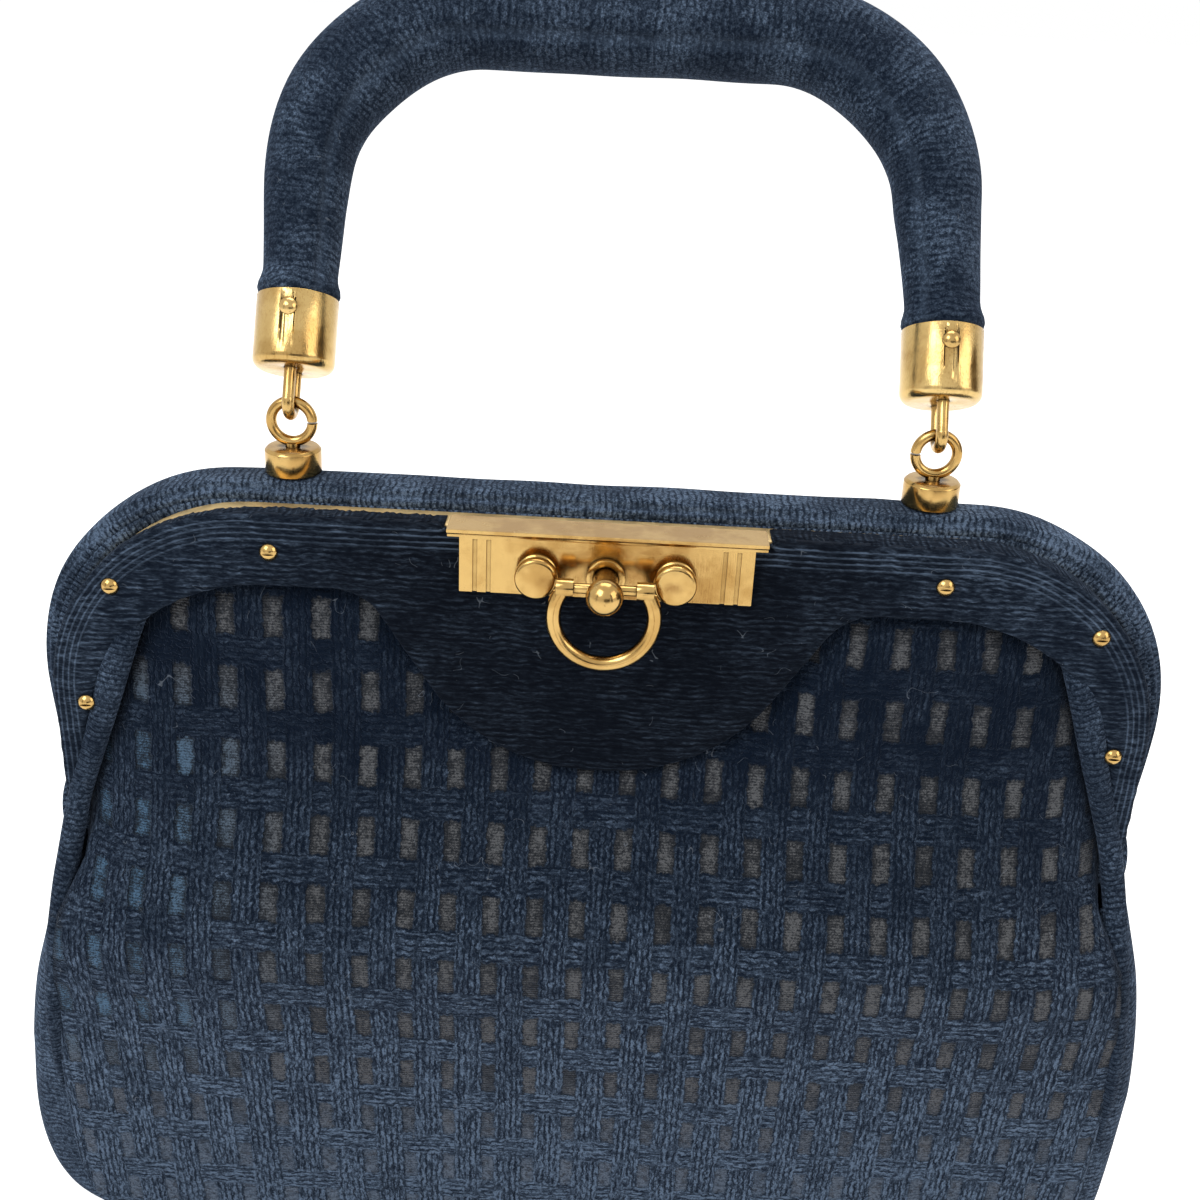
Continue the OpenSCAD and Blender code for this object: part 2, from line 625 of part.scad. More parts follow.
module front_yoke() {
    color(velvet) difference() {
        upright(yoke_front_y, yoke_back_y) front_opening_with_tongue(leg_foot_z);
        screw_holes(yoke_front_y, yoke_back_y);
        knob_stem_holes(yoke_front_y, yoke_back_y);
        sleeve_hole(yoke_front_y, yoke_back_y);
    }
}
module front_screws() {
    color(brass) at_screws() translate([0, yoke_front_y, 0]) screw(screw_l);
}
// A riveted pin through both ears, with a shoulder between them
module right_hinge_pin() {
    inner_x = front_ear_x - fit * 2 - hinge_head_t;
    outer_x = rear_ear_x + ear_t + fit * 2;
    color(brass) union() {
        sideways(inner_x, parting_y, hinge_z) cylinder(h = hinge_head_t, r = hinge_head_r);
        sideways(inner_x, parting_y, hinge_z)
            cylinder(h = outer_x + hinge_head_t - inner_x, r = hinge_pin_r);
        sideways(front_ear_x + ear_t + fit * 2, parting_y, hinge_z)
            cylinder(h = rear_ear_x - front_ear_x - ear_t - fit * 4, r = hinge_head_r - gap);
        sideways(outer_x, parting_y, hinge_z) cylinder(h = hinge_head_t, r = hinge_head_r);
    }
}
module left_hinge_pin() { mirror([1, 0, 0]) right_hinge_pin(); }

// Clasp: a plate over the yoke, two knobs, and a peg that slides in a bushing
plate_y = yoke_front_y - gap / 3;
face_y = plate_y - clasp_t;
boss_y = face_y - boss_h;
sleeve_end_y = plate_back_y + plate_t * 3 / 4;
spring_turns = 4;
// The spring's length at rest: the peg's travel and its turns lying one on the other, with some play
peg_spring_l = peg_travel + (spring_turns + 1 / 3) * peg_spring_wire_r * 2;
spring_end_y = sleeve_end_y + peg_spring_l;
bar_y = face_y - knob_h - pull_gap - pull_wire_r;
ball_y = bar_y - ball_r - gap / 2;
tip_y = -parting_y - gap * 5 / 3;
module knob_stem_holes(y0, y1) {
    for (s = [-1, 1]) forward(s * knob_x, y1 + over, peg_z)
        cylinder(h = y1 - y0 + over * 2, r = knob_stem_r + fit);
}
module sleeve_hole(y0, y1) {
    forward(0, y1 + over, peg_z) cylinder(h = y1 - y0 + over * 2, r = sleeve_r + fit);
}
// Lies flat on the yoke, with a hollowed cornice that returns over the frame's edge
module clasp_plate() {
    low = peg_z - clasp_below;
    top = jaw_top_z + gap / 2;
    cap = top + cornice_h;
    hollow_z = cap - cornice_h / 2 - cornice_out;
    steps = 6;
    cornice = concat(
        [[plate_y, hollow_z], [plate_y, top], [plate_front_y + wall_t, top],
            [plate_front_y + wall_t, cap], [face_y - cornice_out, cap]],
        [for (i = [0:steps]) [face_y - cornice_out + cornice_out * sin(90 * i / steps),
            hollow_z + cornice_out * cos(90 * i / steps)]]);
    color(brass) difference() {
        union() {
            translate([-clasp_w / 2, face_y, low]) cube([clasp_w, clasp_t, hollow_z + gap - low]);
            translate([-cornice_w / 2, 0, 0]) rotate([90, 0, 90]) linear_extrude(cornice_w)
                polygon(cornice);
        }
        for (s = [-1, 1], k = [0, 1])
            translate([s * (groove_x + k * groove_pitch) - groove_w / 2, face_y - over, low - over])
                cube([groove_w, groove_depth + over, hollow_z - low]);
        knob_stem_holes(face_y, plate_y);
        sleeve_hole(face_y, plate_y);
    }
}
// Flared foot, drawn-in neck and a cap with a rounded edge, as [radius, height] shares
foot_shares = [[0, 0], [0.95, 0], [0.93, 0.12], [0.78, 0.24], [0.76, 0.42], [1, 0.56]];
cap_round_share = 0.22;
module right_knob() {
    edge_r = knob_h * cap_round_share;
    steps = 4;
    color(brass) forward(knob_x, face_y, peg_z) union() {
        rotate_extrude() polygon(concat(
            [for (p = foot_shares) [p[0] * knob_r, p[1] * knob_h]],
            [for (i = [0:steps]) [knob_r - edge_r + edge_r * cos(90 * i / steps),
                knob_h - edge_r + edge_r * sin(90 * i / steps)]],
            [[0, knob_h]]));
        translate([0, 0, face_y - plate_back_y - gap / 2])
            cylinder(h = plate_back_y - face_y + gap / 2 + knob_h / 4, r = knob_stem_r);
    }
}
module left_knob() { mirror([1, 0, 0]) right_knob(); }
module clasp_bushing() {
    color(brass) difference() {
        union() {
            forward(0, face_y, peg_z) cylinder(h = boss_h, r = boss_r);
            forward(0, sleeve_end_y, peg_z) cylinder(h = sleeve_end_y - face_y + boss_h / 2, r = sleeve_r);
        }
        forward(0, sleeve_end_y + over, peg_z)
            cylinder(h = sleeve_end_y - boss_y + over * 2, r = peg_r + fit);
    }
}
collar_bore_r = peg_r - gap;
module clasp_peg() {
    color(brass) difference() {
        union() {
            forward(0, spring_end_y, peg_z) cylinder(h = spring_end_y - ball_y, r = peg_r);
            forward(0, spring_end_y + collar_t, peg_z) cylinder(h = collar_t + gap, r = collar_bore_r);
            forward(0, tip_y, peg_z) cylinder(h = tip_y - spring_end_y, r = tip_neck_r);
            translate([0, tip_y, peg_z]) sphere(tip_r);
            translate([0, ball_y, peg_z]) sphere(ball_r);
        }
        sideways(-ball_r - over, bar_y, peg_z) cylinder(h = (ball_r + over) * 2, r = pull_bar_r + fit);
    }
}
module peg_collar() {
    color(steel) forward(0, spring_end_y + collar_t, peg_z) difference() {
        cylinder(h = collar_t, r = collar_r);
        translate([0, 0, -over]) cylinder(h = collar_t + over * 2, r = collar_bore_r + fit);
    }
}
// A coil of round wire about the peg, between the bushing and the collar
module peg_spring() {
    steps = 12;
    sides = 6;
    r = peg_r + peg_spring_wire_r + gap / 2;
    wire = peg_spring_wire_r;
    run = peg_spring_l - wire * 2 - gap;
    last = spring_turns * steps;
    rings = [for (i = [0:last]) let (
            a = 360 * i / steps, y = spring_end_y - wire - gap / 2 - run * i / last
        ) [for (j = [0:sides - 1]) let (b = 360 * j / sides, q = r + wire * cos(b))
            [q * cos(a), y + wire * sin(b), peg_z + q * sin(a)]]];
    color(steel) skin(rings);
}
// Two sprung arms on the rear frame, drawn in to a neck in front of the peg's inner ball
clip_back_y = -plate_back_y;
clip_arm_z = tip_r + gap / 3;
clip_neck_z = tip_r * 3 / 4;
clip_neck_y = tip_y - tip_r;
module clip_arm() {
    y0 = clip_neck_y - catch_t * 2;
    y1 = clip_neck_y + catch_t;
    y2 = tip_y - tip_r / 4;
    translate([-catch_w / 2, 0, peg_z]) rotate([90, 0, 90]) linear_extrude(catch_w) polygon([
        [clip_back_y, 0], [clip_back_y - catch_t, 0], [clip_back_y - catch_t, clip_arm_z],
        [y2, clip_arm_z], [y1, clip_neck_z], [y0, clip_arm_z],
        [y0, clip_arm_z + catch_t], [y1, clip_neck_z + catch_t], [y2, clip_arm_z + catch_t],
        [clip_back_y, clip_arm_z + catch_t]]);
}
rivet_r = knob_stem_r * 3 / 4;
rivet_x = catch_w / 2 - rivet_r * 2;
module catch_rivet_holes() {
    for (s = [-1, 1]) forward(s * rivet_x, clip_back_y + plate_t + over, peg_z)
        cylinder(h = plate_t + catch_t + over * 2, r = rivet_r + fit);
}
module catch_clip() {
    color(steel) difference() {
        union() {
            clip_arm();
            translate([0, 0, peg_z]) mirror([0, 0, 1]) translate([0, 0, -peg_z]) clip_arm();
        }
        catch_rivet_holes();
    }
}
module catch_rivets() {
    head_h = catch_t;
    color(brass) for (s = [-1, 1]) union() {
        forward(s * rivet_x, clip_back_y + plate_t, peg_z) cylinder(h = plate_t + catch_t, r = rivet_r);
        forward(s * rivet_x, clip_back_y - catch_t, peg_z) cylinder(h = head_h, r = rivet_r * 3 / 2);
    }
}

// Pull ring: most of a circle of wire, closed by the crossbar as its upper chord
pull_z = peg_z - pull_bar_up;
bar_angle = asin(pull_bar_up / pull_r);
bar_half = pull_r * cos(bar_angle);
bar_end_r = pull_wire_r + gap;
bar_end_l = pull_wire_r * 2 + gap;
module pull_ring() {
    color(brass) translate([0, bar_y, pull_z]) difference() {
        union() {
            rotate([90, bar_angle - 180, 0]) rotate_extrude(angle = 180 + bar_angle * 2)
                translate([pull_r, 0]) circle(pull_wire_r, $fn = 32);
            for (s = [-1, 1]) sideways(s * bar_half - bar_end_l / 2, 0, pull_bar_up)
                cylinder(h = bar_end_l, r = bar_end_r);
        }
        sideways(-pull_r * 2, 0, pull_bar_up) cylinder(h = pull_r * 4, r = pull_bar_r + fit);
    }
}
// A pin through both ends of the ring, riveted over at its own ends
module pull_crossbar() {
    reach = bar_half + bar_end_l / 2 + fit * 3;
    color(brass) sideways(-reach, bar_y, peg_z) cylinder(h = reach * 2, r = pull_bar_r);
}

// Handle mounts: a post on the rear rim, a ring eye above it, a bolt and a nut inside
arch_half_w = post_x - arch_in;
post_y = (rear_front_y - yoke_front_y) / 2;
post_top_z = rim_top_z + post_h;
eye_z = post_top_z + eye_ring_r + eye_ring_wire_r;
pivot_z = eye_z + eye_ring_r;
module right_post() {
    chamfer = post_h / 9;
    color(brass) translate([post_x, post_y, rim_top_z]) difference() {
        rotate_extrude() polygon([[0, 0], [post_r, 0], [post_r, post_h - chamfer],
            [post_r - chamfer, post_h], [0, post_h]]);
        translate([0, 0, -over]) cylinder(h = post_h + over * 2, r = eye_bolt_r + fit);
    }
}
module left_post() { mirror([1, 0, 0]) right_post(); }
module right_eye_bolt() {
    foot_z = rear_top_z - wall_t - gap - eye_nut_t - gap;
    color(brass) translate([post_x, post_y, 0]) union() {
        translate([0, 0, foot_z])
            cylinder(h = post_top_z - foot_z + eye_ring_wire_r * 3 / 4, r = eye_bolt_r);
        translate([0, 0, eye_z]) rotate([90, 0, 0]) difference() {
            rotate_extrude() translate([eye_ring_r, 0]) circle(eye_ring_wire_r, $fn = 32);
            translate([-eye_ring_r * 2, -eye_cut_w / 2, -eye_ring_wire_r - over])
                cube([eye_ring_r * 2, eye_cut_w, (eye_ring_wire_r + over) * 2]);
        }
    }
}
module left_eye_bolt() { mirror([1, 0, 0]) right_eye_bolt(); }
module right_eye_nut() {
    color(steel) translate([post_x, post_y, rear_top_z - wall_t - gap / 3 - eye_nut_t]) difference() {
        cylinder(h = eye_nut_t, r = eye_nut_r, $fn = 6);
        translate([0, 0, -over]) cylinder(h = eye_nut_t + over * 2, r = eye_bolt_r + fit);
    }
}
module left_eye_nut() { mirror([1, 0, 0]) right_eye_nut(); }

// The handle is drawn upright from its pivot and then leans to the rear
module leaning() { translate([0, post_y, pivot_z]) rotate([-lean, 0, 0]) children(); }
ferrule_bore_r = ferrule_r - ferrule_wall;
grip_end = ferrule_low + ferrule_wall * 2 + handle_eye_wire_r;
leg_r = ferrule_bore_r - fit * 2;
arch_corner_z = arch_h - arch_corner_r;
ferrule_top = ferrule_low + ferrule_l;
leg_points = [for (i = [0:5]) [mix(post_x, arch_half_w, i / 5), mix(ferrule_top, arch_corner_z, i / 5)]];
arc_points = [for (i = [1:10]) [arch_half_w - arch_corner_r + arch_corner_r * cos(9 * i),
    arch_corner_z + arch_corner_r * sin(9 * i)]];
half_path = concat([[post_x, grip_end]], leg_points, arc_points);
half_last = len(half_path) - 1;
path = concat(half_path, [[0, arch_h]],
    [for (i = [half_last:-1:0]) [-half_path[i][0], half_path[i][1]]]);
function grip_at(p) = p[1] <= ferrule_top ? leg_r
    : mix(leg_r, grip_r, pow(share(p[1], ferrule_top, arch_h), 0.75));
function path_normal(i) = i == 0 || i == 1 ? [1, 0] : i >= len(path) - 2 ? [-1, 0]
    : let (d = unit(path[i + 1] - path[i - 1])) [d[1], -d[0]];
function tube_ring(i, r, n) = let (m = path_normal(i)) [for (j = [0:n - 1]) let (a = 360 * j / n)
    [path[i][0] + m[0] * r * cos(a), r * sin(a), path[i][1] + m[1] * r * cos(a)]];
function tube_rings(less, n) = [for (i = [0:len(path) - 1]) tube_ring(i, grip_at(path[i]) - less, n)];
cross_pin_up = ferrule_low + ferrule_l * 3 / 4;
module cross_pin_holes() {
    for (s = [-1, 1]) forward(s * post_x, ferrule_r + over, cross_pin_up)
        cylinder(h = (ferrule_r + over) * 2, r = cross_pin_r + fit);
}
grip_sides = 20;
module handle_cover() {
    color(velvet) leaning() difference() {
        pipe_skin(tube_rings(0, grip_sides), tube_rings(cover_t, grip_sides));
        cross_pin_holes();
    }
}
module handle_core() {
    color(wood) leaning() difference() {
        skin(tube_rings(cover_t + fit, grip_sides));
        cross_pin_holes();
    }
}
eye_bend_r = eye_ring_wire_r + eye_play + handle_eye_wire_r;
module right_ferrule() {
    r = ferrule_r;
    w = ferrule_wall;
    c = ferrule_round;
    steps = 5;
    color(brass) leaning() translate([post_x, 0, ferrule_low]) difference() {
        rotate_extrude() polygon(concat(
            [for (i = [0:steps]) [r - c + c * sin(90 * i / steps), c - c * cos(90 * i / steps)]],
            [[r, ferrule_l], [r - w, ferrule_l], [r - w, w * 2], [0, w * 2], [0, 0]]));
        for (s = [-1, 1]) translate([0, s * eye_bend_r, -over])
            cylinder(h = w * 2 + over * 2, r = handle_eye_wire_r + fit);
        translate([-post_x, 0, -ferrule_low]) cross_pin_holes();
    }
}
module left_ferrule() { mirror([1, 0, 0]) right_ferrule(); }
// Domed head at the front, flat riveted end at the rear
module right_cross_pin() {
    head_h = cross_head_r / 2;
    dome_r = (pow(cross_head_r, 2) + pow(head_h, 2)) / (2 * head_h);
    color(brass) leaning() forward(post_x, 0, cross_pin_up) union() {
        translate([0, 0, -ferrule_r - head_h / 2])
            cylinder(h = ferrule_r * 2 + head_h, r = cross_pin_r);
        translate([0, 0, ferrule_r + fit]) intersection() {
            translate([0, 0, head_h - dome_r]) sphere(dome_r);
            cylinder(h = head_h + over, r = cross_head_r);
        }
    }
}
module left_cross_pin() { mirror([1, 0, 0]) right_cross_pin(); }
// A hairpin of wire: its bend goes through the eye ring, its legs are headed inside the ferrule
module right_handle_eye() {
    head_z = ferrule_low + ferrule_wall * 2 + fit;
    color(brass) leaning() translate([post_x, 0, 0]) union() {
        rotate([0, 90, 0]) rotate([0, 0, -90]) rotate_extrude(angle = 180)
            translate([eye_bend_r, 0]) circle(handle_eye_wire_r, $fn = 32);
        for (s = [-1, 1]) translate([0, s * eye_bend_r, 0])
            cylinder(h = head_z + fit, r = handle_eye_wire_r - fit);
        translate([0, 0, head_z])
            cylinder(h = handle_eye_wire_r - fit * 2, r = eye_bend_r + handle_eye_wire_r);
    }
}
module left_handle_eye() { mirror([1, 0, 0]) right_handle_eye(); }

base_board();
front_panel();
front_panel_upper();
rear_panel();
left_gusset();
right_gusset();
left_gusset_top();
right_gusset_top();
bottom_gusset();
lining();
inner_pocket();
rear_frame();
rear_rim();
rear_yoke();
rear_screws();
front_frame();
front_yoke();
front_screws();
left_hinge_pin();
right_hinge_pin();
left_post();
right_post();
left_eye_bolt();
right_eye_bolt();
left_eye_nut();
right_eye_nut();
clasp_plate();
left_knob();
right_knob();
clasp_bushing();
clasp_peg();
peg_collar();
peg_spring();
catch_clip();
catch_rivets();
pull_ring();
pull_crossbar();
handle_core();
handle_cover();
left_ferrule();
right_ferrule();
left_cross_pin();
right_cross_pin();
left_handle_eye();
right_handle_eye();
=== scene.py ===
"""Looks for the structured velvet frame purse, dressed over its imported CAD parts.

Lengths are in millimetres until a mesh is made, in the same frame as the CAD parts.
"""

import json
import math

import bmesh
import bpy
import numpy as np
from mathutils import Matrix, Vector
from mathutils.geometry import delaunay_2d_cdt
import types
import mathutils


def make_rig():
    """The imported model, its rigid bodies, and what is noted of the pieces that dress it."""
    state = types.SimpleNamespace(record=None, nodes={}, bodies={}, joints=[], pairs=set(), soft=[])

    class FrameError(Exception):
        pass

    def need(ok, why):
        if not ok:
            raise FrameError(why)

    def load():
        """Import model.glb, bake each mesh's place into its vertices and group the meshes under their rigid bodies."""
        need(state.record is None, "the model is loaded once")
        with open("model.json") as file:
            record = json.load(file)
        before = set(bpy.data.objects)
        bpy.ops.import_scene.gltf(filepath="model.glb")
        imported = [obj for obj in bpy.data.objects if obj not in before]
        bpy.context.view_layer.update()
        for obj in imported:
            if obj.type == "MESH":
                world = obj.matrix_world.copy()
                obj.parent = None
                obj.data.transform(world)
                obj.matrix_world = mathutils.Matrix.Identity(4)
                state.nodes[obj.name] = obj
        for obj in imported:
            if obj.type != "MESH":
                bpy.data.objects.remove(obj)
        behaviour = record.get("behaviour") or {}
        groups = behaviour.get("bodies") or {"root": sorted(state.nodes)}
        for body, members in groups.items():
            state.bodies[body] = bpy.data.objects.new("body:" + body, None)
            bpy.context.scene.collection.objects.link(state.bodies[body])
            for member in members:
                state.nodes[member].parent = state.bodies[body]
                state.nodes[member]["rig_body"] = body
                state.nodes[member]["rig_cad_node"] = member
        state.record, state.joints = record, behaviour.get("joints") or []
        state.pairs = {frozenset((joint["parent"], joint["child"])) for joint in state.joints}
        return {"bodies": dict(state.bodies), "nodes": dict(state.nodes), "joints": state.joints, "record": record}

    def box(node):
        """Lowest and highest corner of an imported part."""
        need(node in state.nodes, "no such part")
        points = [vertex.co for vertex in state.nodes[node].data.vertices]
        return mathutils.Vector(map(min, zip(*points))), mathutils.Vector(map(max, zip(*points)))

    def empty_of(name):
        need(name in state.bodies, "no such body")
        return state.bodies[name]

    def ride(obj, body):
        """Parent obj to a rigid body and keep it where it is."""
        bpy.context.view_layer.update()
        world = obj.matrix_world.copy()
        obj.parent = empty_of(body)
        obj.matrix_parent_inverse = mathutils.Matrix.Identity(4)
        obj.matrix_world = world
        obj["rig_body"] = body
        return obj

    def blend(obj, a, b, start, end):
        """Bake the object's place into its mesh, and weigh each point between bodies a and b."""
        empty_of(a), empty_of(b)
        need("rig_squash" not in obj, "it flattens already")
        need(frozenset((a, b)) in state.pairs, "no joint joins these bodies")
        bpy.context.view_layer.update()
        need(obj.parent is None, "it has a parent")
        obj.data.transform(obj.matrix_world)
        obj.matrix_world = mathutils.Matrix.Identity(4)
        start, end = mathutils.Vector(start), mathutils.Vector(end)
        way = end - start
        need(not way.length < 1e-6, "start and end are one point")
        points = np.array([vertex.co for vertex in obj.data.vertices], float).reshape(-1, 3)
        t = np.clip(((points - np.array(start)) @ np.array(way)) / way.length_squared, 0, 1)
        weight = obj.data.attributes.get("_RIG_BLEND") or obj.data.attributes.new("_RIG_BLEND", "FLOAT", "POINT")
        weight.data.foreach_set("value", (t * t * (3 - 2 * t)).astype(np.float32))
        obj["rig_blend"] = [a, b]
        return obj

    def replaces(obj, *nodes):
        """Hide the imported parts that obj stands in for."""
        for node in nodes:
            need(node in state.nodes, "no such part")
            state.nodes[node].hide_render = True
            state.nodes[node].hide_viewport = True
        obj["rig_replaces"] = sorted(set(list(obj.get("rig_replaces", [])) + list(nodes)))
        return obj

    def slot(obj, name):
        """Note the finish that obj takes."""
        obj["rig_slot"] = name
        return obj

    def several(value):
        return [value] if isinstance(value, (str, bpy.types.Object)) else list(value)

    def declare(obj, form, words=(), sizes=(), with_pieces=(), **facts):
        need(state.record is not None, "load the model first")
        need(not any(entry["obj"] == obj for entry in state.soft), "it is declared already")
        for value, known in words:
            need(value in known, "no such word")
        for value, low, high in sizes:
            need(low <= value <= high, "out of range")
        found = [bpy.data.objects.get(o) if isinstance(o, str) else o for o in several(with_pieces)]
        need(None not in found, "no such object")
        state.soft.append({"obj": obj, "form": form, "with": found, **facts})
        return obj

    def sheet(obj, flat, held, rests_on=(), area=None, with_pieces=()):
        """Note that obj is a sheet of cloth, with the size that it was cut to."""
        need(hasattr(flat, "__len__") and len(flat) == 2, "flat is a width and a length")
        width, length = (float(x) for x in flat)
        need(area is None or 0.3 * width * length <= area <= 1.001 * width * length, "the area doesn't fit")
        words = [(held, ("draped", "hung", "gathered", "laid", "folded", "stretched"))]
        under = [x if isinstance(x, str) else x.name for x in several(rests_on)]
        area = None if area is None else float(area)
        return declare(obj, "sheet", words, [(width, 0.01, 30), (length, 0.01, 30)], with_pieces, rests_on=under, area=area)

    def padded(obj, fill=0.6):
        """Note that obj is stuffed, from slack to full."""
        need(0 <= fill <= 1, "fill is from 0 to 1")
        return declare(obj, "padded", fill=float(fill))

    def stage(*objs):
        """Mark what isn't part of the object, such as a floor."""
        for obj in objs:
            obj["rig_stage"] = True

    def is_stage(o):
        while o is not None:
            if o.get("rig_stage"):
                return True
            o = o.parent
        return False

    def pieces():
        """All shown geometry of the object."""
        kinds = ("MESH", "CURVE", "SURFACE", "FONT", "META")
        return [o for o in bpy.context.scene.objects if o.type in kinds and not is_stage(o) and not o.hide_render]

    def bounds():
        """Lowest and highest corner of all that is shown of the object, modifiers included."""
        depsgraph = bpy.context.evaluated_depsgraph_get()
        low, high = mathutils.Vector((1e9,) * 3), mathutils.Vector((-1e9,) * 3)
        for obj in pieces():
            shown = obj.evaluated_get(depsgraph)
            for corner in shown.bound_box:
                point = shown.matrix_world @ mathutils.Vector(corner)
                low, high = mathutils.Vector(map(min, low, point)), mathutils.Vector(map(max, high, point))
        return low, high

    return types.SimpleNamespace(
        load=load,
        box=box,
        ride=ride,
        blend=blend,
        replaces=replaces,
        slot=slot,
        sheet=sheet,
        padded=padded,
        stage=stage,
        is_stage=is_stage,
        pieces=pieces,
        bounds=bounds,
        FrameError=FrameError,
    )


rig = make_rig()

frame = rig.load()
cad_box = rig.bounds()
MM = 0.001


def box_of(node):
    """Lowest and highest corner of a CAD node, in millimetres."""
    low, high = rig.box(node)
    return [c / MM for c in low], [c / MM for c in high]


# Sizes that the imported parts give
frame_high = box_of("front_frame")[1]
yoke_low, yoke_high = box_of("front_yoke")
rim_low, rim_high = box_of("rear_rim")
rear_yoke_low, rear_yoke_high = box_of("rear_yoke")
rear_frame_high = box_of("rear_frame")[1]
post_low, post_high = box_of("right_post")
JAW_HALF_W = frame_high[0]
JAW_TOP_Z = frame_high[2]
LEG_FOOT_Z = yoke_low[2]
POST_X = (post_low[0] + post_high[0]) / 2
POST_Y = (post_low[1] + post_high[1]) / 2

# Sizes that part.scad gives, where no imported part's box does
JAW_CORNER_R = 43
LIP_W = 1
LEG_BAND_W = 2.5
TOP_BAND_H = 15
SHOULDER_W = 22.5
SHOULDER_R = 30
TONGUE_HALF_W = 50.5
TONGUE_END_HALF_W = 24.5
TONGUE_DROP = 40.3
TONGUE_R = 42
TONGUE_HOLLOW_R = 12
RIM_TOP_Z = JAW_TOP_Z + 4.1
RIM_CORNER_R = 47.4
RIM_HALF_W = JAW_HALF_W + 8.2
RIM_LEG_IN = 1.8
RIM_FOOT_Z = 114
REAR_CORNER_R = 42.5
HINGE_Z = 119
PARTING_Y = -3
EAR_R = 7
PANEL_HALF_W = JAW_HALF_W + 6
NECK_IN = 10
BELLY_Z = 60
DEEPEST_Z = 93
BELLY_Y = 30
BASE_Y = 20.5
SEAM_IN = 4
GUSSET_BULGE = 9
CLOTH_T = 2.4
LINING_T = 0.8
TUCK = 3.5
BOARD_T = 2
FOLD_Z = 100
POCKET_W = 110
POCKET_H = 45
TUCK_Y = 9.3
NECK_Y = 8.7
GAP = 0.3
LEAN = math.radians(29)
PIVOT_Z = 213.775
FERRULE_LOW = 6.5
FERRULE_L = 15.5
ARCH_H = 86
ARCH_IN = 2.3
ARCH_CORNER_R = 36
GRIP_R = 10.5
LEG_R = 7.3

OPENING_LOW_W = JAW_HALF_W - LEG_BAND_W
OPENING_TOP_W = JAW_HALF_W - SHOULDER_W
OPENING_TOP_Z = JAW_TOP_Z - TOP_BAND_H
SLOPE = math.atan2(OPENING_LOW_W - OPENING_TOP_W, OPENING_TOP_Z - LEG_FOOT_Z)
SHOULDER_CX = OPENING_TOP_W - SHOULDER_R * math.tan((math.pi / 2 - SLOPE) / 2)
SHOULDER_CZ = OPENING_TOP_Z - SHOULDER_R

# Sizes of the velvet that only this scene has
WRAP_OUT = 0.75
COVER_LEG_W = JAW_HALF_W - 1.5
COVER_SHOULDER_W = JAW_HALF_W - 13.9
COVER_SHOULDER_R = 41
COVER_EDGE_R = 1.1
COVER_SINK = 0.5
COLUMN_PITCH = 9.4
ROW_PITCH = 15.62
ROW_Z = 123.8
TURNING = 6
SEAM_GAP = CLOTH_T + 0.05
HANDLE_LEFT = 0.9
# Weave value far from any edge, and the one that marks the lined inside of the front and rear cloth
NO_EDGE = 8.0
LINED = 400


def share(z, low, high):
    """How far z is on the way from low to high, between 0 and 1."""
    return np.clip((z - low) / (high - low), 0, 1)


def mix(a, b, s):
    return a + (b - a) * s


def ease(s):
    """A soft fall from 1 to 0."""
    return 0.5 + np.cos(np.pi * np.clip(s, 0, 1)) / 2


def hump(value, middle, width, power=2):
    """A soft hump of height 1 around a middle value."""
    return np.exp(-(((value - middle) / width) ** power))


def waves(x, y, seed, size):
    """Smooth, repeatable unevenness between about -1 and 1, with features of that size."""
    a = np.sin(x / size * 1.7 + seed * 1.3 + 1.1 * np.sin(y / size * 1.1 + seed))
    b = np.sin(y / size * 1.9 + seed * 2.1 + 1.3 * np.sin(x / size * 0.8 + seed * 0.7))
    c = np.sin((x + y) / size * 1.2 + seed * 3.7)
    return (a + b + c) / 3


# The bag's shape, as in part.scad
BASE_FLAT_SHARE = 0.0195
BASE_SQUARENESS = 7


def seam_half_w(z):
    z = np.asarray(z, float)
    raw = mix(z, BELLY_Z, BASE_FLAT_SHARE) + 0 * z
    below = np.clip((BELLY_Z - raw) / BELLY_Z, 0, 1)
    low = PANEL_HALF_W * (1 - below**BASE_SQUARENESS) ** (1 / BASE_SQUARENESS)
    up = np.maximum(z - BELLY_Z, 0) / (LEG_FOOT_Z + EAR_R - BELLY_Z)
    return np.where(z < BELLY_Z, low, PANEL_HALF_W - NECK_IN * up**1.6)


def cloth_half_w(z):
    z = np.asarray(z, float)
    reach = SHOULDER_R + TUCK
    spread = mix(seam_half_w(FOLD_Z), JAW_HALF_W - 3.3, share(z, FOLD_Z, HINGE_Z - EAR_R))
    round_part = SHOULDER_CX + np.sqrt(np.maximum(reach**2 - (z - SHOULDER_CZ) ** 2, 0))
    straight_part = OPENING_LOW_W - (z - LEG_FOOT_Z) * math.tan(SLOPE) + TUCK / math.cos(SLOPE)
    upper = np.where(z < SHOULDER_CZ + reach * math.sin(SLOPE), straight_part, round_part)
    return np.where(z <= FOLD_Z, seam_half_w(z), np.minimum(spread, upper))


def middle_y(z):
    z = np.asarray(z, float)
    low = BELLY_Y - (BELLY_Y - BASE_Y) * (np.maximum(DEEPEST_Z - z, 0) / DEEPEST_Z) ** 1.4
    high = mix(NECK_Y, BELLY_Y, ease((z - DEEPEST_Z) / (OPENING_TOP_Z - DEEPEST_Z)) ** 2.7)
    return np.where(z < DEEPEST_Z, low, high)


def edge_y(z):
    z = np.asarray(z, float)
    low = middle_y(z) - SEAM_IN * np.sqrt(np.clip(z / DEEPEST_Z, 0, 1))
    high = mix(TUCK_Y, BELLY_Y - SEAM_IN, ease((z - DEEPEST_Z) / (LEG_FOOT_Z - DEEPEST_Z)) ** 0.9)
    return np.where(z < DEEPEST_Z, low, high)


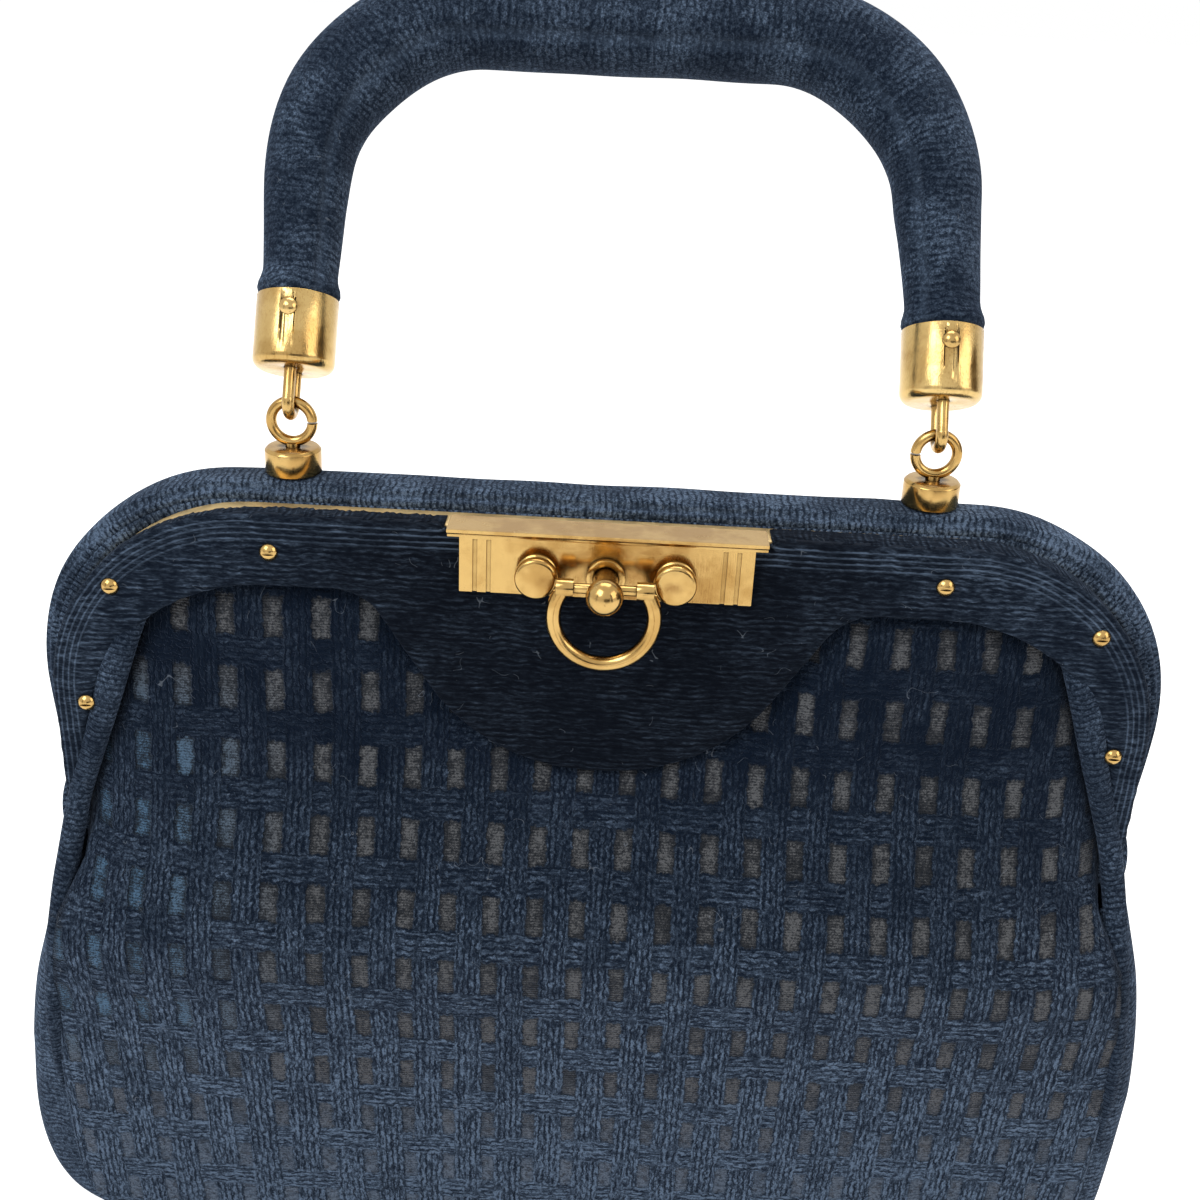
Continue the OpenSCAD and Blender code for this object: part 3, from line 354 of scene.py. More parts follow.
def cloth_y(z, t):
    m = middle_y(z)
    return m - np.maximum(m - edge_y(z), 0) * np.abs(t) ** 8


# Lines and outlines


def unit(vectors):
    return vectors / np.maximum(np.linalg.norm(vectors, axis=1, keepdims=True), 1e-9)


def lengths_along(line):
    """How far along a line each of its points lies."""
    return np.concatenate([[0], np.cumsum(np.linalg.norm(np.diff(line, axis=0), axis=1))])


def full_turn(count):
    return np.linspace(0, 2 * math.pi, count, endpoint=False)


def round_corner(a, b, c, r, n):
    if r == 0:
        return [b]
    u = (a - b) / np.linalg.norm(a - b)
    v = (c - b) / np.linalg.norm(c - b)
    half = math.acos(max(-1, min(1, float(u @ v)))) / 2
    middle = (u + v) / np.linalg.norm(u + v)
    centre = b + middle * r / math.sin(half)
    p = b + u * r / math.tan(half) - centre
    q = b + v * r / math.tan(half) - centre
    start = math.atan2(p[1], p[0])
    turn = (math.atan2(q[1], q[0]) - start + 3 * math.pi) % (2 * math.pi) - math.pi
    angles = [start + turn * i / n for i in range(n + 1)]
    return [centre + r * np.array([math.cos(t), math.sin(t)]) for t in angles]


def rounded(points, n=24, closed=True):
    """Outline from [x, z, corner radius] points; an open one keeps its two end points."""
    count = len(points)
    made = []
    for i, (x, z, r) in enumerate(points):
        here = np.array([x, z], float)
        if not closed and i in (0, count - 1):
            made.append(here)
            continue
        before = np.array(points[i - 1][:2], float)
        after = np.array(points[(i + 1) % count][:2], float)
        made += round_corner(before, here, after, r, n)
    return np.array(made)


def mirrored(points):
    return [[-x, z, r] for x, z, r in reversed(points)]


def resampled(points, step, closed=False):
    """Points at even steps along a line."""
    line = np.vstack([points, points[:1]]) if closed else np.asarray(points)
    at = lengths_along(line)
    count = max(int(round(at[-1] / step)), 8)
    where = np.linspace(0, at[-1], count + 1)
    if closed:
        where = where[:-1]
    return np.stack([np.interp(where, at, line[:, k]) for k in range(line.shape[1])], 1)


def side_normals(line, closed=False):
    """Unit normals to the right of a line's direction."""
    d = unit(np.roll(line, -1, 0) - np.roll(line, 1, 0) if closed else np.gradient(line, axis=0))
    return np.stack([d[:, 1], -d[:, 0]], 1)


def outward_normals(line):
    """Unit normals of an arch, which point away from the middle of the bag."""
    normals = side_normals(line)
    return normals * np.sign(np.sum(normals * (line - np.array([0, 120])), axis=1))[:, None]


def arch_line(half_w, top, r, foot):
    """An open arch from its right foot over the top to its left foot."""
    right = [[half_w, foot, 0], [half_w, top, r]]
    return rounded(right + mirrored(right), closed=False)


def rear_frame_arch(foot):
    return arch_line(rear_frame_high[0] + GAP, rear_frame_high[2] + GAP, REAR_CORNER_R + GAP, foot)


def rim_points(off, foot):
    lean_in = RIM_LEG_IN * (RIM_TOP_Z - foot) / (RIM_TOP_Z - RIM_FOOT_Z)
    half_w = RIM_HALF_W - off
    return [[half_w - lean_in, foot, 0], [half_w, RIM_TOP_Z - off, RIM_CORNER_R - off]]


# Right half of the opening in the front yoke, from its foot to the end of its tongue
OPENING_HALF = [
    [OPENING_LOW_W, LEG_FOOT_Z, 0],
    [OPENING_TOP_W, OPENING_TOP_Z, SHOULDER_R],
    [TONGUE_HALF_W, OPENING_TOP_Z, TONGUE_HOLLOW_R],
    [TONGUE_END_HALF_W, OPENING_TOP_Z - TONGUE_DROP, TONGUE_R],
]


def rear_yoke_loop():
    outer = rim_points(LIP_W + 1.4, LEG_FOOT_Z)
    outer[0][2] = 0.6
    inner = [[OPENING_TOP_W, OPENING_TOP_Z, SHOULDER_R], [OPENING_LOW_W, LEG_FOOT_Z, 0.6]]
    return rounded(outer + mirrored(outer) + mirrored(inner) + inner)


def wrapped(x):
    """1 where the front velvet is turned over the frame's edge, and 0 where the brass lip shows."""
    return share(np.abs(x), 33.0, 34.5)


def lip_bared(x):
    """1 at the left of the top, where the turned velvet stops short of the lip."""
    return share(-x, 33, 34) * share(-x, 108, 99)


def front_yoke_loop(arch):
    """Outline of the front velvet: out over the frame's edge, and narrow along the piped legs."""
    line = resampled(arch, 1.0)
    line = line + outward_normals(line) * mix(-LIP_W, WRAP_OUT, wrapped(line[:, 0]))[:, None]
    inner = [[COVER_LEG_W, LEG_FOOT_Z, 0], [COVER_SHOULDER_W, OPENING_TOP_Z, COVER_SHOULDER_R]]
    inner = inner + OPENING_HALF[2:]
    return np.vstack([line, rounded(mirrored(inner[::-1]) + inner[::-1], closed=False)])


def inside(points, loop):
    """Which points lie inside a closed outline."""
    x, z = points[:, 0], points[:, 1]
    found = np.zeros(len(points), bool)
    for (x0, z0), (x1, z1) in zip(loop, np.roll(loop, -1, 0)):
        if z0 == z1:
            continue
        crosses = (z0 > z) != (z1 > z)
        found ^= crosses & (x < (x1 - x0) * (z - z0) / (z1 - z0) + x0)
    return found


def distance(points, line, closed=True):
    """Distance of each point from a line of points."""
    ends = np.roll(line, -1, 0) if closed else line[1:]
    starts = line if closed else line[:-1]
    best = np.full(len(points), 1e9)
    for a, b in zip(starts, ends):
        d = b - a
        t = np.clip(((points - a) @ d) / max(float(d @ d), 1e-9), 0, 1)
        best = np.minimum(best, np.linalg.norm(points - a - t[:, None] * d, axis=1))
    return best


# Meshes


def new_object(name, points, faces, weave):
    """A smooth mesh that keeps its points at rest and a weave coordinate for its material."""
    mesh = bpy.data.meshes.new(name)
    mesh.from_pydata((points * MM).tolist(), [], faces)
    mesh.update()
    for key, values in (("rest", points), ("weave", weave)):
        attribute = mesh.attributes.new(key, "FLOAT_VECTOR", "POINT")
        attribute.data.foreach_set("vector", np.asarray(values, np.float32).ravel())
    mesh.polygons.foreach_set("use_smooth", [True] * len(mesh.polygons))
    made = bpy.data.objects.new(name, mesh)
    bpy.context.scene.collection.objects.link(made)
    return made


def mend_normals(obj):
    work = bmesh.new()
    work.from_mesh(obj.data)
    bmesh.ops.remove_doubles(work, verts=work.verts, dist=1e-7)
    bmesh.ops.recalc_face_normals(work, faces=work.faces)
    work.to_mesh(obj.data)
    work.free()
    obj.data.update()
    return obj


def grid_faces(rows, cols, start=0, wrap=False, flip=False):
    faces = []
    for i in range(rows - 1):
        for j in range(cols if wrap else cols - 1):
            a = start + i * cols + j
            b = start + i * cols + (j + 1) % cols
            face = (a, b, b + cols, a + cols)
            faces.append(face[::-1] if flip else face)
    return faces


def turned_out(outer, inner):
    """Whether faces made in grid order look from the inner grid towards the outer one."""
    i, j = outer.shape[0] // 2, outer.shape[1] // 2
    across = outer[i, j + 1] - outer[i, j]
    up = outer[i + 1, j] - outer[i, j]
    return float(np.cross(across, up) @ (outer[i, j] - inner[i, j])) > 0


def shell(name, outer, inner, weave, inner_weave=None):
    """A closed sheet between two grids of points."""
    rows, cols = outer.shape[:2]
    count = rows * cols
    good = turned_out(outer, inner)
    faces = grid_faces(rows, cols, 0, flip=not good)
    faces += grid_faces(rows, cols, count, flip=good)
    index = np.arange(count).reshape(rows, cols)
    loop = np.concatenate([index[0], index[1:, -1], index[-1, -2::-1], index[-2:0:-1, 0]]).tolist()
    for a, b in zip(loop, loop[1:] + loop[:1]):
        face = (a, a + count, b + count, b)
        faces.append(face if good else face[::-1])
    inner_weave = weave if inner_weave is None else inner_weave
    points = np.concatenate([outer.reshape(-1, 3), inner.reshape(-1, 3)])
    return new_object(name, points, faces, np.concatenate([weave.reshape(-1, 3), inner_weave.reshape(-1, 3)]))


def tube(name, rings, weave):
    """A closed skin over rings of points, with a point in the middle of each end."""
    rows, cols = rings.shape[:2]
    points = np.vstack([rings.reshape(-1, 3), rings[0].mean(0), rings[-1].mean(0)])
    extra = np.vstack([weave.reshape(-1, 3), weave[0].mean(0), weave[-1].mean(0)])
    faces = grid_faces(rows, cols, wrap=True)
    for row, centre in ((0, rows * cols), (rows - 1, rows * cols + 1)):
        for j in range(cols):
            a = row * cols + j
            b = row * cols + (j + 1) % cols
            faces.append((a, b, centre) if row else (centre, b, a))
    return mend_normals(new_object(name, points, faces, extra))


def tube_weave(around, run):
    """Weave coordinates of a tube: round each ring, along the tube, and far from any edge."""
    shape = np.ones(np.broadcast(around, run).shape)
    return np.stack([around * shape, run * shape, NO_EDGE * shape], 2)


def swept(name, line, normals, out, y, around):
    """A tube along an outline, from how far outwards and at what depth its rings' points lie."""
    flat = line[:, None] + normals[:, None] * np.asarray(out)[..., None]
    rings = np.stack([flat[:, :, 0], y + 0 * flat[:, :, 0], flat[:, :, 1]], 2)
    return tube(name, rings, tube_weave(around, lengths_along(line)[:, None]))


def flat_fill(points, count):
    """Flat points and faces inside an outline, which the first points make."""
    edges = [(j, (j + 1) % count) for j in range(count)]
    found = delaunay_2d_cdt([Vector(p) for p in points], edges, [], 1, 1e-5)
    return np.array([[p[0], p[1]] for p in found[0]]), found[2]


def board(name, loop, face_y, back_y, outer_line):
    """A covered board with a rounded face edge; its cover is drawn down towards its edges."""
    forward = -1 if face_y < back_y else 1
    loop = resampled(loop, 1.1, closed=True)
    count = len(loop)
    normals = side_normals(loop, True)
    area = np.sum(loop[:, 0] * np.roll(loop[:, 1], -1) - np.roll(loop[:, 0], -1) * loop[:, 1])
    inward = -normals if area > 0 else normals
    ragged = waves(loop[:, 0] * 9, loop[:, 1] * 9, 3.1, 10) * 0.14

    def sunk(d):
        return COVER_SINK * np.exp(-d / 2.6)

    rings = [(loop, back_y)]
    for angle in np.linspace(0, math.pi / 2, 6):
        inset = COVER_EDGE_R * (1 - math.cos(angle))
        flat = loop + inward * (inset - ragged * math.cos(angle))[:, None]
        rings.append((flat, face_y - forward * (COVER_EDGE_R * (1 - math.sin(angle)) + sunk(inset))))
    points = np.concatenate([np.stack([flat[:, 0], np.full(count, y), flat[:, 1]], 1) for flat, y in rings])
    faces = grid_faces(len(rings), count, wrap=True)
    last = rings[-1][0]
    (low_x, low_z), (high_x, high_z) = last.min(0), last.max(0)
    xs = np.arange(low_x, high_x, 1.6)
    zs = np.arange(low_z, high_z, 1.6)
    grid = np.array([[x + 0.8 * (i % 2), z] for i, z in enumerate(zs) for x in xs])
    grid = grid[inside(grid, last)]
    grid = grid[distance(grid, last) > 0.8]
    face_flat, face_faces = flat_fill(np.vstack([last, grid]), count)
    d = distance(face_flat, loop)
    y = face_y - forward * sunk(d) + forward * 0.12 * waves(face_flat[:, 0], face_flat[:, 1], 1.7, 14)
    y = np.where(d < COVER_EDGE_R + 0.01, face_y - forward * sunk(COVER_EDGE_R), y)
    back_flat, back_faces = flat_fill(loop, count)
    back = np.full(len(back_flat), back_y)
    for flat, depth, more in ((face_flat, y, face_faces), (back_flat, back, back_faces)):
        faces += [tuple(len(points) + v for v in face) for face in more]
        points = np.vstack([points, np.stack([flat[:, 0], depth, flat[:, 1]], 1)])
    from_edge = distance(points[:, [0, 2]], outer_line, closed=False)
    weave = np.stack([points[:, 0], points[:, 2], from_edge], 1)
    return mend_normals(new_object(name, points, faces, weave))


# Materials


class Wire:
    """An output of a node; arithmetic with it adds further nodes."""

    def __init__(self, nodes, socket):
        self.nodes = nodes
        self.socket = socket

    def __add__(self, other):
        return self.nodes.math("ADD", self, other)

    def __radd__(self, other):
        return self.nodes.math("ADD", other, self)

    def __sub__(self, other):
        return self.nodes.math("SUBTRACT", self, other)

    def __rsub__(self, other):
        return self.nodes.math("SUBTRACT", other, self)

    def __mul__(self, other):
        return self.nodes.math("MULTIPLY", self, other)

    def __abs__(self):
        return self.nodes.math("ABSOLUTE", self)

    def __floor__(self):
        return self.nodes.math("FLOOR", self)

    def __round__(self):
        return self.nodes.math("ROUND", self)


class Nodes:
    """A new material, or the nodes of a given world, and short ways to add and wire nodes."""

    def __init__(self, name, owner=None):
        self.owner = owner or bpy.data.materials.new(name)
        self.owner.use_nodes = True
        self.tree = self.owner.node_tree
        self.tree.nodes.clear()

    def add(self, kind, inputs=None, **settings):
        """A node with those settings, and values or wires for some of its inputs."""
        node = self.tree.nodes.new(kind)
        for key, value in settings.items():
            setattr(node, key, value)
        for key, value in (inputs or {}).items():
            if isinstance(value, Wire):
                self.tree.links.new(value.socket, node.inputs[key])
            else:
                node.inputs[key].default_value = value
        return node

    def wire(self, node, key=0):
        return Wire(self, node.outputs[key])

    def vector(self, name):
        return self.wire(self.add("ShaderNodeAttribute", attribute_name=name), "Vector")

    def parts(self, vector):
        node = self.add("ShaderNodeSeparateXYZ", {0: vector})
        return [self.wire(node, k) for k in range(3)]

    def join(self, x, y, z):
        return self.wire(self.add("ShaderNodeCombineXYZ", {0: x, 1: y, 2: z}))

    def scaled(self, x_scale, y_scale, z_scale):
        """The object's own coordinates, in metres, each times a scale."""
        x, y, z = self.parts(self.wire(self.add("ShaderNodeTexCoord"), "Object"))
        return self.join(x * x_scale, y * y_scale, z * z_scale)

    def math(self, operation, a, b=0.0):
        return self.wire(self.add("ShaderNodeMath", {0: a, 1: b}, operation=operation))

    def most(self, a, b):
        return self.math("MAXIMUM", a, b)

    def least(self, a, b):
        return self.math("MINIMUM", a, b)

    def span(self, value, low, high, to_low=0.0, to_high=1.0):
        """A soft step from to_low to to_high as the value goes from low to high."""
        inputs = {"Value": value, "From Min": low, "From Max": high, "To Min": to_low, "To Max": to_high}
        return self.wire(self.add("ShaderNodeMapRange", inputs, interpolation_type="SMOOTHSTEP"), "Result")

    def noise(self, vector, size, detail=2.0, roughness=0.5):
        """Noise between 0 and 1 whose features have that size in the vector's units."""
        inputs = {"Vector": vector, "Scale": 1 / size, "Detail": detail, "Roughness": roughness}
        return self.wire(self.add("ShaderNodeTexNoise", inputs), "Fac")

    def shifted(self, vector, by):
        """The same coordinates moved aside, for a pattern of its own."""
        inputs = {0: vector, 1: (by, by * 0.7, by * 1.3)}
        return self.wire(self.add("ShaderNodeVectorMath", inputs, operation="ADD"))

    def specks(self, vector, size, amount):
        """A mask with small round specks."""
        node = self.add("ShaderNodeTexVoronoi", {"Vector": vector, "Scale": 1 / size})
        return self.span(self.wire(node, "Distance"), amount * 0.6, amount, 1, 0)

    def blend(self, factor, a, b):
        """Colour a, or b where the factor is 1."""
        return self.wire(self.add("ShaderNodeMix", {0: factor, 6: a, 7: b}, data_type="RGBA"), 2)

    def bump(self, height, strength=1.0):
        """Relief from a height in millimetres."""
        inputs = {"Height": height, "Distance": MM, "Strength": strength}
        return self.wire(self.add("ShaderNodeBump", inputs), "Normal")

    def seen(self):
        """1 on rays from the camera, and on those that a mirror or a glass sends on, and 0 on others."""
        path = self.add("ShaderNodeLightPath")
        kinds = ("Camera", "Glossy", "Transmission")
        camera, glossy, through = (self.wire(path, f"Is {kind} Ray") for kind in kinds)
        return self.most(self.most(camera, glossy), through)

    def output(self, shader, kind="ShaderNodeOutputMaterial"):
        self.add(kind, {"Surface": self.wire(shader)})
        return self.owner

    def finish(self, colour, roughness, normal=None, **settings):
        inputs = {"Base Color": colour, "Roughness": roughness}
        if normal is not None:
            inputs["Normal"] = normal
        inputs.update({key.replace("_", " "): value for key, value in settings.items()})
        return self.output(self.add("ShaderNodeBsdfPrincipled", inputs))


def rgb(r, g, b):
    return (r, g, b, 1.0)


PILE = rgb(0.0021, 0.0060, 0.0150)
PILE_DEEP = rgb(0.0006, 0.0013, 0.0034)
PILE_LIGHT = rgb(0.130, 0.180, 0.262)
LINT = rgb(0.30, 0.34, 0.40)
SEAM_SHADOW = rgb(0.0012, 0.0018, 0.0035)
SATIN_DARK_AND_SHADED = rgb(0.008, 0.010, 0.014)
SATIN_GREY = rgb(0.112, 0.114, 0.120)
SATIN_LOW = rgb(0.096, 0.094, 0.098)
SATIN_BLUE_REFLECTION = rgb(0.070, 0.150, 0.250)
LINING_DARK = rgb(0.020, 0.016, 0.022)
LINING_INSIDE = rgb(0.048, 0.040, 0.052)
LINING_LIGHT = rgb(0.060, 0.048, 0.062)


def velvet_sheen(weight):
    return {
        "Sheen_Weight": weight,
        "Sheen_Roughness": 0.38,
        "Sheen_Tint": rgb(0.45, 0.60, 0.90),
        "Specular_IOR_Level": 0.08,
    }


def ribs(n, along, pitch, wobble):
    """Rounded ribs, between 0 in the grooves and 1 on the crowns."""
    return n.math("COSINE", (along + wobble) * (2 * math.pi / pitch)) * 0.5 + 0.5


def cracks(n, along, pitch, wobble, width):
    """Thin dark lines between rows of pile, 1 in the lines and 0 on the rows."""
    place = n.math("FRACT", (along + wobble) * (1 / pitch))
    return n.span(abs(place - 0.5) * 2.0, 1 - width, 1 - width * 0.3)


def stray_fibres(n, rest, speck, hair_weight):
    """Specks of lint and a few thin, curled fibres."""
    lint = n.specks(rest, 6.5, speck) * n.span(n.noise(rest, 9.0, 1), 0.5, 0.6)
    curl = n.span(abs(n.noise(rest, 2.6, 0) - 0.5), 0.004, 0.012, 1, 0)
    hair = curl * n.span(n.noise(n.shifted(rest, 37), 4.16, 0), 0.73, 0.74)
    return n.most(lint * 0.6, hair * hair_weight)


def plain_velvet(name, pitch, depth, base, patches, crack=0.7, sheen=0.12, seam=None, lines=False, **more):
    """Ribbed velvet; its weave coordinate runs across the ribs in Y and from the edge in Z."""
    n = Nodes(name)
    rest = n.vector("rest")
    across, along, edge = n.parts(n.vector("weave"))
    x, y, z = n.parts(rest)
    brushed = n.join(x * more.get("combed", 1.0), y, z)
    slow = n.noise(rest, 13.0, 3, 0.6)
    mid = n.noise(rest, 3.0, 2, 0.6)
    tuft = n.noise(brushed, 0.9, 3, 0.7)
    fuzz = n.noise(brushed, 0.4, 2, 0.75)
    wobble = (n.noise(rest, 5.5, 1) - 0.5) * (pitch * 1.9) + (tuft - 0.5) * (pitch * 0.5)
    groove = cracks(n, along, pitch, wobble, 0.55) * n.span(mid, 0.3, 0.6, 0.25, 1.0)
    patch = n.span(slow, 0.40, 0.66)
    height = groove * -depth + tuft * 0.26 + fuzz * 0.12 + patch * 0.2
    light = base + patch * patches + (mid - 0.5) * 0.22
    # Painted shade darkens the grooves between rows of pile, beside their bump relief.
    light = light * (1.0 - groove * crack) * n.span(tuft, 0.35, 0.66, 0.3, 1.8)
    light = light * n.span(fuzz, 0.36, 0.66, 0.45, 1.7)
    # An optional span over height paints light and shade onto the pile.
    if "shade" in more:
        light = light * n.span(z, *more["shade"])
    deep = 0.0
    if lines:
        crown = ribs(n, along, pitch * 0.8, wobble * 0.6)
        inner_part = n.span(edge, 3.5, 7.5)
        # Painted highlight lightens the rib crowns of the yoke's pile.
        stripe = n.span(crown, 0.2, 0.9, 0.6, 1.45) * inner_part + (1.0 - inner_part)
        light = light * stripe * n.span(abs(x), 25, 90, 0.4, 1.3)
        deep = n.span(abs(x), 30, 95, 0.85, 0.35)
        line = ribs(n, edge + (slow - 0.5) * 0.8, 1.25, (tuft - 0.5) * 0.5)
        band = n.span(edge, 0.2, 0.9) * n.span(edge, 4.6, 6.0, 1, 0) * n.span(slow, 0.3, 0.55, 0.35, 1)
        line = n.span(line, 0.5, 0.95) * band
        height = height + crown * inner_part * 0.12 + line * 0.22
        light = light + line * n.span(tuft, 0.3, 0.7, 0.16, 0.55)
    if seam is not None:
        around = across - (seam + (n.noise(rest, 14.0, 1) - 0.5) * 3.0)
        near = n.span(abs(around), 0.3, 1.9, 1, 0)
        height = height - near * 0.5
        light = light + near * 0.10
    light = n.least(n.most(light, 0.0), 1.0)
    colour = n.blend(light, n.blend(deep, PILE, PILE_DEEP), PILE_LIGHT)
    colour = n.blend(stray_fibres(n, rest, 0.022, 0.25), colour, LINT)
    return n.finish(colour, 0.93, n.bump(height), **velvet_sheen(sheen))


def patterned_velvet(name):
    """Velvet voided to satin rectangles between plaited, ribbed strips of pile."""
    n = Nodes(name)
    rest = n.vector("rest")
    x, up, border = n.parts(n.vector("weave"))
    rest_x, rest_y, z = n.parts(rest)
    combed_level = n.noise(n.join(rest_x * 0.16, rest_y, z), 0.5, 2, 0.7)
    combed_upright = n.noise(n.join(rest_x, rest_y, z * 0.16), 0.5, 2, 0.7)
    tuft = n.noise(rest, 0.9, 3, 0.7)
    fuzz = n.noise(rest, 0.4, 2, 0.75)
    mid = n.noise(rest, 3.4, 2, 0.6)
    slow = n.noise(rest, 19.0, 3, 0.6)

    # The grid: u counts columns and v counts rows, with ragged and drawn edges
    ragged = n.noise(rest, 1.5, 2, 0.7) - 0.5
    ragged_up = n.noise(n.shifted(rest, 21), 1.7, 2, 0.7) - 0.5
    sway = (n.noise(rest, 16.0, 1) - 0.5) * 1.6
    drawn = n.span(x, -40, -98) * 3.3
    u = (x + 2.5 + drawn + ragged * 1.6 + sway * 0.5) * (1 / COLUMN_PITCH)
    drawn_up = n.span(z, 136, 176) * -2.5
    v = (up + drawn_up + ragged_up * 2.6 + sway) * (1 / ROW_PITCH)
    du = abs(u - round(u))
    dv = abs(v - round(v))
    low_down = n.span(z, 125, 40)
    half_wide = 0.198 - low_down * 0.045
    column = n.span(du, half_wide - 0.02, half_wide + 0.02, 1, 0)
    row = n.span(dv, 0.262, 0.292, 1, 0)
    off_column = 1.0 - column
    off_row = 1.0 - row

    # The plait: level and upright strips of pile pass over each other by turns
    floor_u = math.floor(u)
    floor_v = math.floor(v)
    level_over = n.span(n.math("FRACT", (floor_u + floor_v) * 0.5 + 0.25), 0.45, 0.55, 1, 0)
    level_over = level_over * n.span(n.noise(n.shifted(rest, 53), 14.0, 1), 0.40, 0.52)
    rect = column * row
    cross = off_column * off_row
    level = off_row * column + cross * level_over
    upright = off_column * row + cross * (1.0 - level_over)
    level_wave = n.math("COSINE", (u - 0.5 - floor_v) * math.pi)
    upright_wave = n.math("COSINE", (v - 0.5 - floor_u) * math.pi) * -1.0
    lift = level * level_wave + upright * upright_wave
    wobble = (mid - 0.5) * 1.2 + (tuft - 0.5) * 0.4
    level_crack = cracks(n, v * ROW_PITCH, 1.55, wobble, 0.5)
    upright_crack = cracks(n, u * COLUMN_PITCH, 1.35, wobble, 0.5)
    crack = level * level_crack + upright * upright_crack
    short_crack = n.span(n.noise(n.shifted(rest, 11), 1.3, 1), 0.56, 0.62) * 0.7
    crack = n.most(crack * n.span(mid, 0.3, 0.55, 0.35, 1.0), short_crack)
    thread = ribs(n, up, 0.62, (tuft - 0.5) * 0.7)
    strand = level * combed_level + upright * combed_upright + rect * 0.5
    pile_height = (1.0 - rect) * (tuft * 0.16 + fuzz * 0.10 + strand * 0.25)
    height = rect * (-0.55 + thread * 0.14) + lift * 0.13 + crack * -0.34 + pile_height + slow * 0.3

    # Colour of the pile, with painted sheen that lightens it towards the bottom
    # Painted shade where a strip of pile dips under another.
    under_strip_shade = n.span(lift, -0.8, 0.15, 0.72, 1.0)
    # Painted sheen: the pile's lightness rises towards the bottom of the bag, with random mottling.
    base = n.span(z, 165, 15, 0.060, 0.74) + (slow - 0.5) * 0.45
    base = n.most(base + (mid - 0.5) * 0.20, 0.02)
    # Painted shade darkens the cracks between rows of pile.
    light = base * under_strip_shade * (1.0 - crack * 0.88) * n.span(strand, 0.34, 0.66, 0.3, 1.8)
    light = light * n.span(tuft, 0.35, 0.66, 0.6, 1.45) * n.span(fuzz, 0.36, 0.66, 0.6, 1.45)
    colour = n.blend(n.least(light, 1.0), PILE, PILE_LIGHT)

    # Colour of the satin, with a painted blue reflection near the left edge and painted shade towards each rectangle's
    # edges
    worn = n.span(n.noise(n.shifted(rest, 5), 6.0, 2), 0.32, 0.62, 0.35, 1.15)
    own = n.noise(n.join(round(u) * 7.3, round(v) * 5.1, 0.0), 1.0, 0)
    # Painted shade towards each rectangle's edges, beside the raised pile, with the satin's own uneven tone.
    satin_tone_and_shade = n.span(du, 0.07, 0.17, 1, 0.30) * n.span(dv, 0.19, 0.27, 1, 0.35) * worn
    satin_tone_and_shade = satin_tone_and_shade * n.span(own, 0.3, 0.7, 0.55, 1.3) * n.span(thread, 0, 1, 0.5, 1.2)
    satin_tone_and_shade = satin_tone_and_shade * n.span(tuft, 0.36, 0.64, 0.35, 1.6) * n.span(fuzz, 0.38, 0.64, 0.35, 1.9)
    # Painted reflection: blue in the rectangles near the left edge.
    blue_reflection = n.span(x, -62, -100) * n.span(z, 168, 135) * n.span(z, 50, 80)
    satin_tone = n.blend(blue_reflection * 0.85, n.blend(low_down, SATIN_GREY, SATIN_LOW), SATIN_BLUE_REFLECTION)
    satin = n.blend(n.least(satin_tone_and_shade, 1.0), SATIN_DARK_AND_SHADED, satin_tone)
    colour = n.blend(rect * n.span(z, 22, 75, 0.35, 1.0), colour, satin)

    # Plain strips past the seam, the groove along it with a painted shadow, and the lined inside
    on_strip = n.span(border, -0.3, 0.3, 1, 0)
    # Painted sheen: the plain strips' pile is lighter towards the bottom.
    plain_light = n.span(z, 120, 20, 0.10, 0.5) * n.span(tuft, 0.36, 0.64, 0.2, 1.9)
    colour = n.blend(on_strip, colour, n.blend(plain_light, PILE, PILE_LIGHT))
    seam_groove_and_shadow = n.span(border + ragged * 1.2, -0.4, 2.4, 1, 0)
    # Painted shadow in the groove along the seam.
    colour = n.blend(seam_groove_and_shadow * 0.85, colour, SEAM_SHADOW)
    lined = n.span(border, LINED * 0.45, LINED * 0.55)
    colour = n.blend(lined, colour, n.blend(slow, LINING_DARK, LINING_INSIDE))
    height = (height - seam_groove_and_shadow * 0.6) * (1.0 - lined)
    rough = n.span(rect * (1.0 - on_strip), 0, 1, 0.93, 0.56)
    colour = n.blend(stray_fibres(n, rest, 0.024, 0.3) * (1.0 - lined), colour, LINT)
    return n.finish(colour, rough, n.bump(height), **velvet_sheen(0.12))


def brass(name, tone, streak=0.0, worn=0.5, matt=0.0, crevice_shade=0.85):
    """Polished brass with polishing marks, fingermarks, darker patches and painted shade in its crevices."""
    n = Nodes(name)
    at = n.scaled(1000, 1000, 1000)
    slow = n.noise(at, 4.0, 3, 0.6)
    fine = n.noise(at, 0.35, 2, 0.6)
    marks = n.noise(n.scaled(3500, 3500, 300), 1.0, 2, 0.6)
    dark = rgb(tone[0] * 0.55, tone[1] * 0.42, tone[2] * 0.25)
    patch = n.span(n.noise(at, 9.0, 3, 0.6), 0.42, 0.66) * worn
    patch = patch + n.span(marks, 0.5, 0.75) * (streak * 0.35)
    colour = n.blend(patch, tone, dark)
    colour = n.blend(n.specks(at, 1.7, 0.06) * 0.55, colour, rgb(0.06, 0.035, 0.012))
    # Painted shade in crevices and grooves, from ambient occlusion.
    crevice_occlusion = n.wire(n.add("ShaderNodeAmbientOcclusion", {"Distance": 1.4 * MM}, samples=6), "AO")
    colour = n.blend(n.span(crevice_occlusion, 0.35, 0.9, crevice_shade, 0.0), colour, rgb(0.03, 0.016, 0.006))
    rough = n.span(slow, 0.3, 0.8, 0.11, 0.26) + marks * 0.08 + matt
    height = slow * 0.05 + fine * 0.008 + marks * (0.012 + streak * 0.03)
    return n.finish(colour, rough, n.bump(height, 0.6), Metallic=1.0)


